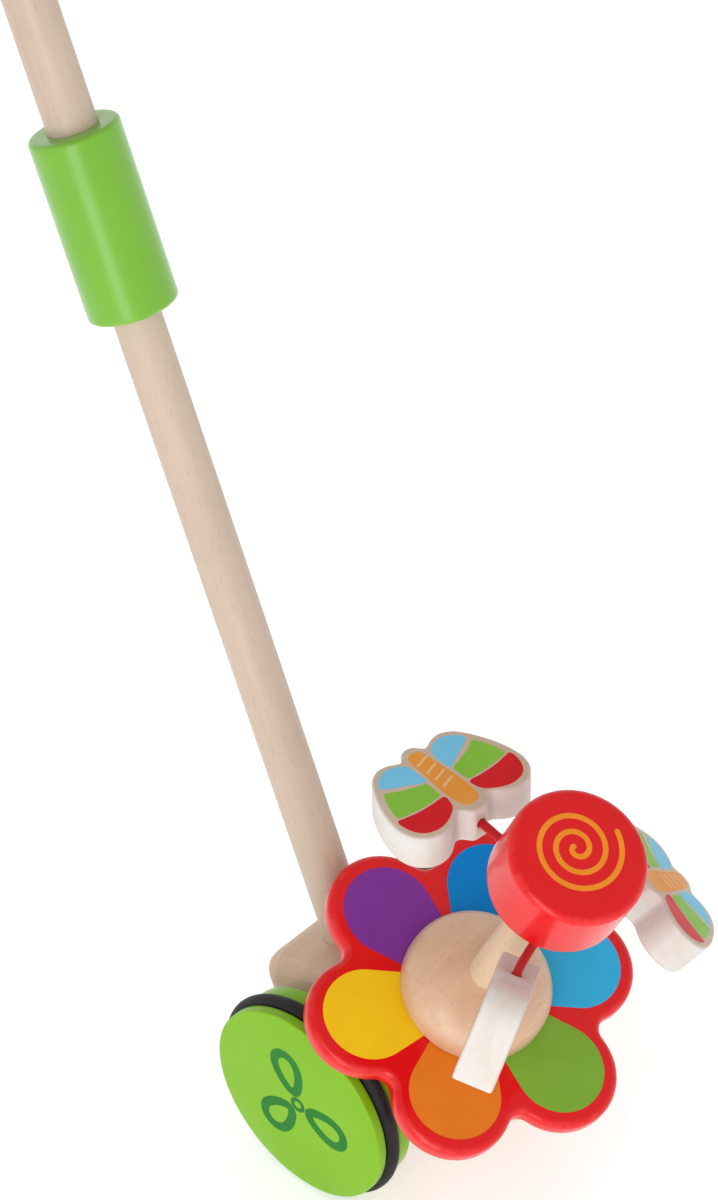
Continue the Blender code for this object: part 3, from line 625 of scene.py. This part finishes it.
def face_rings(radius, height):
    """Flat round face from its rim to its middle."""
    return [flat(radius * share, height) for share in FACE_RINGS] + [flat(0.0, height)]


def paint_body():
    """Empty bmesh for ribbons of paint."""
    body = bmesh.new()
    body.verts.layers.float.new("edge")
    return body


def bridge(body, rings):
    """Faces between neighbouring rings of as many points, and over the first and the last."""
    for low, high in zip(rings, rings[1:]):
        for step in range(len(low)):
            after = (step + 1) % len(low)
            body.faces.new((low[step], low[after], high[after], high[step]))
    body.faces.new(rings[0][::-1])
    body.faces.new(rings[-1])


def slab(rows, outline_at):
    """Closed bmesh through (inset, height, edge) rows of one outline; "wall" is 1 on its side."""
    body = bmesh.new()
    worn = body.verts.layers.float.new("edge")
    wall = body.verts.layers.float.new("wall")
    deepest = max(max(inset for inset, height, edge in rows), MM)
    loops = []
    for inset, height, edge in rows:
        loop = []
        for point in outline_at(inset):
            vert = body.verts.new((point.x, point.y, height))
            vert[worn] = edge
            vert[wall] = 1.0 - inset / deepest
            loop.append(vert)
        loops.append(loop)
    bridge(body, loops)
    return body


def rounded_rows(bottom, top, size, steps=5):
    """(inset, height, edge) rows for a slab with both edges rounded."""
    low = []
    for i in range(steps + 1):
        angle = 90.0 * DEG * i / steps
        low.append((size - size * math.sin(angle), bottom + size - size * math.cos(angle),
                    math.sin(2.0 * angle)))
    return low + [(inset, top - (height - bottom), edge) for inset, height, edge in reversed(low)]


def film(name, outline, matrix, height, material, frame_body, side=1.0):
    """Thin layer of paint on a flat face at the given height; outline in mm."""
    points = [Vector(p) * MM for p in outline]
    rows = ((0.0, height - side * PAINT_SINK, 0.0), (0.0, height + side * PAINT_RISE, 0.0))
    return add_piece(name, slab(rows, lambda inset: points), matrix, material, frame_body)


def ribbon(body, path, width, height, side, loop=False):
    """Painted line along a path in mm, added to a bmesh; its ends are round unless it is a loop."""
    half = width / 2.0
    left, right = [], []
    count = len(path)
    for i, point in enumerate(path):
        before = path[i - 1] if (loop or i > 0) else path[0]
        after = path[(i + 1) % count] if (loop or i < count - 1) else path[-1]
        along = (after - before).normalized()
        across = Vector((-along.y, along.x))
        left.append(point + across * half)
        right.append(point - across * half)
    top = height + side * PAINT_RISE
    bottom = height - side * PAINT_SINK

    def lift(points, z):
        return [body.verts.new((p.x * MM, p.y * MM, z)) for p in points]

    left_top, right_top = lift(left, top), lift(right, top)
    left_low, right_low = lift(left, bottom), lift(right, bottom)
    spans = range(count) if loop else range(count - 1)
    for i in spans:
        j = (i + 1) % count
        body.faces.new((left_top[i], right_top[i], right_top[j], left_top[j]))
        body.faces.new((left_low[i], left_low[j], right_low[j], right_low[i]))
        body.faces.new((left_top[i], left_top[j], left_low[j], left_low[i]))
        body.faces.new((right_top[i], right_low[i], right_low[j], right_top[j]))
    if loop:
        return
    for end, inner in ((0, 1), (count - 1, count - 2)):
        outward = (path[end] - path[inner]).normalized()
        across = Vector((-outward.y, outward.x))
        arc = [path[end] + (across * math.cos(a) + outward * math.sin(a)) * half
               for a in (180.0 * DEG * k / LINE_END_STEPS for k in range(1, LINE_END_STEPS))]
        start_is_left = (left[end] - path[end]).dot(across) > 0.0
        if not start_is_left:
            arc.reverse()
        over = [left_top[end]] + lift(arc, top) + [right_top[end]]
        under = [left_low[end]] + lift(arc, bottom) + [right_low[end]]
        body.faces.new(over)
        body.faces.new(under)
        for k in range(len(over) - 1):
            body.faces.new((over[k], over[k + 1], under[k + 1], under[k]))


def smooth_closed(points, steps):
    """Closed Catmull-Rom curve through points."""
    run = []
    count = len(points)
    for i in range(count):
        p0, p1, p2, p3 = points[i - 1], points[i], points[(i + 1) % count], points[(i + 2) % count]
        for step in range(steps):
            t = step / steps
            run.append(((p1 * 2.0) + (p2 - p0) * t + (p0 * 2.0 - p1 * 5.0 + p2 * 4.0 - p3) * t * t
                        + (p1 * 3.0 - p0 - p2 * 3.0 + p3) * t ** 3) * 0.5)
    return run


# ---------------------------------------------------------------- stick and sleeve


def build_stick():
    """Two dowels that meet inside the sleeve; the upper one ends in a dome."""
    joint_low = STICK_JOINT - GLUE_GAP
    joint_high = STICK_JOINT + GLUE_GAP
    lower = [flat(0.0, stick_foot)] + corner(LOWER_RADIUS, stick_foot, DOWEL_ROUND, 1, 1)[::-1]
    lower += run_along(LOWER_RADIUS, stick_foot + STICK_MARGIN, STICK_JOINT - STICK_MARGIN,
                       LOWER_BANDS)
    lower += corner(LOWER_RADIUS, joint_low, DOWEL_ROUND, 1, -1) + [flat(0.0, joint_low)]
    add_piece("stick_lower_visual", lathe(lower, STICK_SEGMENTS), STICK, "beech", "chassis",
              ("lower_stick",))
    upper = [flat(0.0, joint_high)] + corner(UPPER_RADIUS, joint_high, DOWEL_ROUND, 1, 1)[::-1]
    dome_start = STICK_TOP - UPPER_RADIUS
    upper += run_along(UPPER_RADIUS, STICK_JOINT + STICK_MARGIN, dome_start - STICK_DOME_MARGIN,
                       UPPER_BANDS)
    for i in range(STICK_DOME_STEPS):
        angle = 90.0 * DEG * i / STICK_DOME_STEPS
        upper.append((UPPER_RADIUS * math.cos(angle), dome_start + UPPER_RADIUS * math.sin(angle),
                      STICK_DOME_WEAR))
    upper.append((0.0, STICK_TOP, STICK_TIP_WEAR))
    add_piece("stick_upper_visual", lathe(upper, STICK_SEGMENTS), STICK, "beech", "chassis",
              ("upper_stick",))


def build_sleeve():
    low_bore = LOWER_RADIUS + SNUG_GAP
    high_bore = UPPER_RADIUS + SNUG_GAP
    profile = corner(low_bore, SLEEVE_BOTTOM, SLEEVE_MOUTH_ROUND, -1, 1, MOUTH_STEPS)
    profile += corner(SLEEVE_RADIUS, SLEEVE_BOTTOM, SLEEVE_ROUND, 1, 1)[::-1]
    profile += run_along(SLEEVE_RADIUS, SLEEVE_BOTTOM + STICK_MARGIN, SLEEVE_TOP - STICK_MARGIN,
                         SLEEVE_BANDS)
    profile += corner(SLEEVE_RADIUS, SLEEVE_TOP, SLEEVE_ROUND, 1, -1)
    profile += corner(high_bore, SLEEVE_TOP, SLEEVE_MOUTH_ROUND, -1, -1, MOUTH_STEPS)[::-1]
    profile += [flat(high_bore, STICK_JOINT), flat(low_bore, STICK_JOINT)]
    add_piece("sleeve_visual", lathe(profile, SLEEVE_SEGMENTS, closed=True), STICK, "green_gloss",
              "chassis", ("grip_sleeve",))


# ---------------------------------------------------------------- wheels


def build_wheel(side, matrix):
    """Wheel and ring about +Z, which points out of the toy; heights are from its middle."""
    inner = WHEEL_FACE - WHEEL_WIDTH
    bore = AXLE_RADIUS + GLUE_GAP
    bore_end = inner + AXLE_SEAT + GLUE_GAP
    half = RING_SHOWN + GLUE_GAP
    plane = WHEEL_FACE - GROOVE_FROM_FACE - half
    centre_radius = WHEEL_RADIUS + RING_STANDOUT - RING_SHOWN
    groove_in = plane - half
    groove_out = plane + half
    floor = centre_radius - half
    profile = [flat(0.0, bore_end), flat(bore, bore_end), flat(bore, inner + WHEEL_BORE_CHAMFER),
               flat(bore + WHEEL_BORE_CHAMFER, inner)]
    profile += corner(WHEEL_RADIUS, inner, WHEEL_ROUND, 1, 1, SMALL_CORNER_STEPS)[::-1]
    profile += corner(WHEEL_RADIUS, groove_in, WHEEL_ROUND, 1, -1, SMALL_CORNER_STEPS)
    profile += [flat(floor, groove_in), flat(floor, groove_out)]
    profile += corner(WHEEL_RADIUS, groove_out, WHEEL_ROUND, 1, 1, SMALL_CORNER_STEPS)[::-1]
    profile += corner(WHEEL_RADIUS, WHEEL_FACE, WHEEL_ROUND, 1, -1, SMALL_CORNER_STEPS)
    profile += face_rings(WHEEL_RADIUS, WHEEL_FACE)
    add_piece("wheel_" + side + "_visual", lathe(profile, WHEEL_SEGMENTS), matrix, "green",
              "wheelset", (side + "_wheel",))
    tube = []
    for step in range(TUBE_SEGMENTS):
        angle = TAU * step / TUBE_SEGMENTS
        tube.append((centre_radius + RING_SHOWN * math.cos(angle),
                     plane + RING_SHOWN * math.sin(angle),
                     max(0.0, math.cos(angle)) ** RING_WEAR_FADE))
    add_piece("tyre_" + side + "_visual", lathe(tube, WHEEL_SEGMENTS, closed=True), matrix,
              "rubber", "wheelset", (side + "_tyre_ring",))


def leaf(turn):
    """Closed outline path of one leaf that points away from the centre."""
    points = []
    for k in range(LEAF_STEPS):
        a = TAU * k / LEAF_STEPS
        share = 0.5 - 0.5 * math.cos(a)
        x = LEAF_START + LEAF_LENGTH * share
        y = LEAF_HALF_WIDTH * math.sin(a) * (LEAF_TAPER + (1.0 - LEAF_TAPER) * share)
        points.append(Vector((x * math.cos(turn) - y * math.sin(turn),
                              x * math.sin(turn) + y * math.cos(turn))))
    return points


def build_motif(side, matrix):
    """Outlined leaves round a small ring, painted on a wheel's face."""
    body = paint_body()
    for k in range(LEAF_COUNT):
        path = leaf(MOTIF_TURNS[side] + TAU * k / LEAF_COUNT)
        ribbon(body, path, LEAF_LINE, WHEEL_FACE, 1.0, loop=True)
    circle = [polar(TAU * i / LEAF_STEPS, MOTIF_RING_RADIUS) for i in range(LEAF_STEPS)]
    ribbon(body, circle, MOTIF_RING_LINE, WHEEL_FACE, 1.0, loop=True)
    add_piece("wheel_motif_" + side, body, matrix, "paint_motif", "wheelset")


# ---------------------------------------------------------------- flower


def flower_outline(inset, petal_steps=26, notch_steps=9):
    """Round petals joined by small arcs in the notches, drawn in by the inset."""
    half = TAU / PETALS / 2.0
    across = PETAL_CENTRE * math.sin(half)
    along = PETAL_NOTCH - PETAL_CENTRE * math.cos(half)
    fillet = (PETAL_RADIUS ** 2 - along ** 2 - across ** 2) / (2.0 * (along - PETAL_RADIUS))
    reach = PETAL_NOTCH + fillet
    notch = polar(half, reach)
    toward = Vector((PETAL_CENTRE, 0.0)) - notch
    joint = math.atan2(-toward.y, -toward.x)
    start = math.atan2(toward.y, toward.x) % TAU
    points = []
    for petal in range(PETALS):
        spin = Matrix.Rotation(PETAL_PHASE + TAU * petal / PETALS, 2)
        for i in range(petal_steps + 1):
            a = -joint + 2.0 * joint * i / petal_steps
            size = PETAL_RADIUS - inset
            points.append(spin @ Vector((PETAL_CENTRE + size * math.cos(a), size * math.sin(a))))
        middle = half + math.pi
        for i in range(1, notch_steps):
            a = start + 2.0 * (middle - start) * i / notch_steps
            points.append(spin @ (notch + polar(a, fillet + inset)))
    return points


def petal_paint():
    """Outline of a petal's paint: a round end whose sides taper to a foot under the dome."""
    radius, centre = PETAL_PAINT_RADIUS, PETAL_PAINT_CENTRE
    reach = 90.0 * DEG + PETAL_PAINT_TAPER
    arc = [-reach + 2.0 * reach * i / PETAL_PAINT_STEPS for i in range(PETAL_PAINT_STEPS + 1)]
    outline = [Vector((centre + radius * math.cos(a), radius * math.sin(a))) for a in arc]
    last = outline[-1]
    foot_half = last.y - (last.x - PETAL_PAINT_FOOT) * math.tan(PETAL_PAINT_TAPER)
    first = Vector((PETAL_PAINT_FOOT, -foot_half))
    return [first] + outline + [Vector((PETAL_PAINT_FOOT, foot_half))]


def build_disc():
    body = slab(rounded_rows(-DISC_THICKNESS, 0.0, DISC_ROUND), flower_outline)
    add_piece("flower_disc_visual", body, FLOWER, "red", "flower",
              ("flower_disc",))
    for k, color in enumerate(PETAL_ORDER):
        spin = Matrix.Rotation(PETAL_PHASE + TAU * k / PETALS, 2)
        film("petal_" + color, [spin @ p for p in petal_paint()], FLOWER, 0.0, color, "flower")


def build_dome():
    foot = GLUE_GAP
    bore = PEG_RADIUS + SNUG_GAP
    rise = DOME_HEIGHT - DOME_SHOULDER
    profile = [flat(bore, foot)]
    profile += corner(DOME_RADIUS, foot, DOME_FOOT_ROUND, 1, 1, SMALL_CORNER_STEPS)[::-1]
    for i in range(DOME_STEPS + 1):
        angle = 90.0 * DEG * i / DOME_STEPS
        radius = DOME_RADIUS * math.cos(angle) ** DOME_SHARE
        if radius <= bore + DOME_MOUTH_MARGIN:
            break
        profile.append((radius, foot + DOME_SHOULDER + rise * math.sin(angle) ** DOME_SHARE, 0.0))
    profile.append(flat(bore, foot + DOME_HEIGHT))
    add_piece("flower_dome_visual", lathe(profile, DOME_SEGMENTS, closed=True), FLOWER, "dome",
              "flower", ("flower_dome",))


def build_peg():
    tail = -DISC_THICKNESS - PEG_TAIL
    top = CAP_BOTTOM + CAP_SOCKET - GLUE_GAP
    profile = [flat(0.0, tail)] + corner(PEG_RADIUS, tail, DOWEL_ROUND, 1, 1)[::-1]
    profile += run_along(PEG_RADIUS, tail + PEG_MARGIN, top - PEG_MARGIN, PEG_BANDS)
    profile += corner(PEG_RADIUS, top, DOWEL_ROUND, 1, -1) + [flat(0.0, top)]
    add_piece("spindle_peg_visual", lathe(profile, STICK_SEGMENTS), FLOWER, "peg", "flower",
              ("spindle_peg",))


def build_cap():
    bore = PEG_RADIUS + GLUE_GAP
    socket = CAP_BOTTOM + CAP_SOCKET
    profile = [flat(0.0, socket), flat(bore, socket), flat(bore, CAP_BOTTOM + CAP_MOUTH_CHAMFER),
               (bore + CAP_MOUTH_CHAMFER, CAP_BOTTOM, CAP_MOUTH_WEAR)]
    profile += corner(CAP_RADIUS, CAP_BOTTOM, CAP_BOTTOM_ROUND, 1, 1)[::-1]
    profile += run_along(CAP_RADIUS, CAP_BOTTOM + PEG_MARGIN, cap_top - PEG_MARGIN, CAP_BANDS)
    profile += corner(CAP_RADIUS, cap_top, CAP_TOP_ROUND, 1, -1)
    profile += face_rings(CAP_RADIUS, cap_top)
    add_piece("top_cap_visual", lathe(profile, DOME_SEGMENTS), FLOWER, "red", "flower",
              ("top_cap",))
    body = paint_body()
    path = []
    for i in range(SPIRAL_STEPS + 1):
        share = i / SPIRAL_STEPS
        angle = SPIRAL_START - TAU * SPIRAL_TURNS * share
        radius = SPIRAL_OUTER - SPIRAL_PITCH * SPIRAL_TURNS * share
        path.append(SPIRAL_CENTRE + polar(angle, radius))
    ribbon(body, path, SPIRAL_WIDTH, cap_top, 1.0)
    add_piece("cap_spiral", body, FLOWER, "paint_spiral", "flower")


# ---------------------------------------------------------------- butterflies


def fly_frame(pose):
    """Butterfly's frame in the flower's, at its tail: X across, Y to its head, Z out of its top."""
    heading = Vector((math.cos(pose["heading"] * DEG), math.sin(pose["heading"] * DEG), 0.0))
    droop = pose["droop"] * DEG
    head = heading * math.cos(droop) - UP * math.sin(droop)
    level = (UP - head * UP.dot(head)).normalized()
    sideways = head.cross(level)
    normal = level * math.cos(pose["roll"] * DEG) + sideways * math.sin(pose["roll"] * DEG)
    tail = polar(pose["angle"] * DEG, pose["reach"] * MM, FLY_TAIL_HEIGHT)
    return axes_matrix(tail, head.cross(normal), head, normal)


def fly_outline(steps=6):
    """Smooth outline through FLY_OUTLINE's half and its mirror image."""
    half = [Vector((w * FLY_HALF_SPAN, b * FLY_LENGTH)) for w, b in FLY_OUTLINE]
    run = []
    for i in range(len(half) - 1):
        p0, p1, p2, p3 = half[max(i - 1, 0)], half[i], half[i + 1], half[min(i + 2, len(half) - 1)]
        leave, arrive = (p2 - p0) * 0.5, (p3 - p1) * 0.5
        for step in range(steps):
            t = step / steps
            blend = t * t * (3 - 2 * t)
            run.append(p1 * (1 - blend) + p2 * blend + leave * (t * (1 - t) ** 2)
                       - arrive * (t * t * (1 - t)))
    run.append(half[-1])
    return run + [Vector((-p.x, p.y)) for p in reversed(run[1:-1])]


def shrink(points, inset):
    """Outline drawn in by the inset."""
    moved = []
    for i, point in enumerate(points):
        along = (points[(i + 1) % len(points)] - points[i - 1]).normalized()
        moved.append(point + Vector((-along.y, along.x)) * inset)
    return moved


def fly_paint(name, matrix, body_name):
    """Painted wing patches and a striped body on both faces."""
    for side, word in ((1.0, "top"), (-1.0, "under")):
        height = side * FLY_THICKNESS / 2.0
        for color, points in WING_PATCHES.items():
            for mirror, hand in ((1.0, "r"), (-1.0, "l")):
                run = smooth_closed([Vector((x * mirror, y)) for x, y in points], PATCH_STEPS)
                patch = "_".join((name, color, word, hand))
                film(patch, run, matrix, height, color, body_name, side)
        right = [Vector(p) for p in BODY_STRIP]
        left = [Vector((-p.x, p.y)) for p in right[-2:0:-1]]
        strip = smooth_closed(right + left, PATCH_STEPS)
        film(name + "_body_" + word, strip, matrix, height, "wing_orange", body_name, side)
        bars = paint_body()
        for start in BODY_BARS:
            path = [Vector((x, start + y)) for x, y in BAR_PATH]
            ribbon(bars, path, BAR_LINE, height + side * PAINT_RISE, side)
        add_piece(name + "_bars_" + word, bars, matrix, "wing_cream", body_name)


def wire_path(pose):
    """Wire's middle line from inside the cap, down and round into the butterfly's tail."""
    place = fly_frame(pose)
    head = place.to_3x3() @ YDIR
    tail = place.to_translation()
    mouth = polar(pose["hole"] * DEG, WIRE_HOLE, CAP_BOTTOM)
    start = mouth - UP * WIRE_STRAIGHT
    finish = tail - head * WIRE_STRAIGHT
    pull = (finish - start).length * WIRE_PULL
    path = [mouth + UP * WIRE_IN_CAP, mouth]
    for step in range(WIRE_STEPS + 1):
        t = step / WIRE_STEPS
        blend = t * t * (3 - 2 * t)
        path.append(start * (1 - blend) + finish * blend - UP * (pull * t * (1 - t) ** 2)
                    - head * (pull * t * t * (1 - t)))
    return path + [tail, tail + head * WIRE_IN_FLY]


def build_wire(index, pose):
    body = bmesh.new()
    worn = body.verts.layers.float.new("edge")
    path = wire_path(pose)
    rings = []
    side = XDIR
    for i, point in enumerate(path):
        along = (path[min(i + 1, len(path) - 1)] - path[max(i - 1, 0)]).normalized()
        side = (side - along * side.dot(along)).normalized()
        other = along.cross(side)
        ring = []
        for step in range(WIRE_SEGMENTS):
            a = TAU * step / WIRE_SEGMENTS
            vert = body.verts.new(point + (side * math.cos(a) + other * math.sin(a)) * WIRE_RADIUS)
            vert[worn] = 0.0
            ring.append(vert)
        rings.append(ring)
    bridge(body, rings)
    node = "butterfly_wire_%d" % (index + 1)
    add_piece(node + "_visual", body, FLOWER, "wire", "flower", (node,))


def build_butterflies():
    outline = fly_outline()
    half = FLY_THICKNESS / 2.0
    bore = WIRE_RADIUS + RUNNING_GAP
    to_body = place_matrix(Vector(), YDIR, XDIR)
    for index, pose in enumerate(FLY_POSES):
        matrix = FLOWER @ fly_frame(pose)
        node = "butterfly_%d" % (index + 1)
        body_name = "butterfly_" + "abc"[index]
        hole = lathe([flat(0.0, -FLY_HOLE_DEPTH), flat(bore, -FLY_HOLE_DEPTH),
                      flat(bore, FLY_HOLE_DEPTH), flat(0.0, FLY_HOLE_DEPTH)], TUBE_SEGMENTS)
        hole.transform(to_body)
        rows = rounded_rows(-half, half, FLY_ROUND, SMALL_CORNER_STEPS)
        body = slab(rows, lambda inset: shrink(outline, inset))
        add_piece(node + "_visual", body, matrix, "fly", body_name, (node,), hole)
        fly_paint(node, matrix, body_name)
        build_wire(index, pose)


# ---------------------------------------------------------------- carried-over nodes


CARRIED_NODES = {
    "block": ("chassis_block",),
    "dowel": ("stick_joint_dowel", "stick_lock_dowel"),
    "steel": ("axle_rod", "pivot_screw", "screw_washer"),
    "nylon": ("right_axle_bush", "left_axle_bush", "right_axle_spacer", "left_axle_spacer",
              "thrust_washer"),
}


def dress_nodes():
    for material, nodes in CARRIED_NODES.items():
        for node in nodes:
            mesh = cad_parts[node].data
            mesh.materials.clear()
            mesh.materials.append(MAT[material])


# ---------------------------------------------------------------- studio


def build_studio():
    build_floor()
    world = bpy.data.worlds.new("studio")
    bpy.context.scene.world = world
    world.use_nodes = True
    build_sky(world.node_tree)
    light = bpy.data.lights.new("key", "AREA")
    light.shape = "RECTANGLE"
    light.size = LAMP_WIDTH
    light.size_y = LAMP_HEIGHT
    light.energy = LAMP_POWER
    lamp = bpy.data.objects.new("key", light)
    lamp.location = LAMP_PLACE
    lamp.rotation_euler = (LAMP_AIM - LAMP_PLACE).to_track_quat("-Z", "Y").to_euler()
    bpy.context.scene.collection.objects.link(lamp)
    bpy.context.scene.view_settings.view_transform = "Standard"


def build_sky(tree):
    """Even white all round, dimmer overhead."""
    place = tree.nodes.new("ShaderNodeTexCoord")
    split = tree.nodes.new("ShaderNodeSeparateXYZ")
    fade = tree.nodes.new("ShaderNodeMapRange")
    tree.links.new(place.outputs["Generated"], split.inputs[0])
    tree.links.new(split.outputs["Z"], fade.inputs["Value"])
    for name, value in (("From Min", SKY_FADE_FROM), ("From Max", SKY_FADE_TO),
                        ("To Min", SKY_SIDE), ("To Max", SKY_OVERHEAD)):
        fade.inputs[name].default_value = value
    tree.links.new(fade.outputs[0], tree.nodes["Background"].inputs["Strength"])
    tree.nodes["Background"].inputs["Color"].default_value = WHITE


def build_floor():
    """Pale floor under the rings' lowest line, glowing a little to stay white as in the photo."""
    body = bmesh.new()
    bmesh.ops.create_grid(body, x_segments=1, y_segments=1, size=FLOOR_HALF)
    mesh = bpy.data.meshes.new("studio_floor")
    body.to_mesh(mesh)
    body.free()
    floor = bpy.data.objects.new("studio_floor", mesh)
    floor.location = (0.0, 0.0, axle_centre.z - ring_centre_radius - RING_TUBE)
    bpy.context.scene.collection.objects.link(floor)
    t = Tree("studio_floor", on_node=True)
    cloud = t.noise(t.place(), 3.0, detail=2.0, rough=0.5)
    t.set(Base_Color=t.mix(cloud, *FLOOR_WHITES), Roughness=0.8, Emission_Color=WHITE,
          Emission_Strength=FLOOR_GLOW)
    mesh.materials.append(t.material)


def build_camera():
    data = bpy.data.cameras.new("camera")
    data.sensor_fit = "VERTICAL"
    data.sensor_height = CAMERA_SENSOR
    data.lens = CAMERA_LENS
    data.clip_start = CAMERA_NEAR
    data.clip_end = CAMERA_FAR
    camera = bpy.data.objects.new("camera", data)
    back = CAMERA_BACK.normalized()
    right = CAMERA_RIGHT.normalized()
    camera.matrix_world = axes_matrix(axle_centre + CAMERA_PLACE, right, back.cross(right), back)
    bpy.context.scene.collection.objects.link(camera)
    bpy.context.scene.camera = camera


build_stick()
build_sleeve()
for side, matrix in (("right", AXLE_RIGHT), ("left", AXLE_LEFT)):
    build_wheel(side, matrix)
    build_motif(side, matrix)
build_disc()
build_dome()
build_peg()
build_cap()
build_butterflies()
dress_nodes()
build_studio()
build_camera()
bpy.context.view_layer.update()
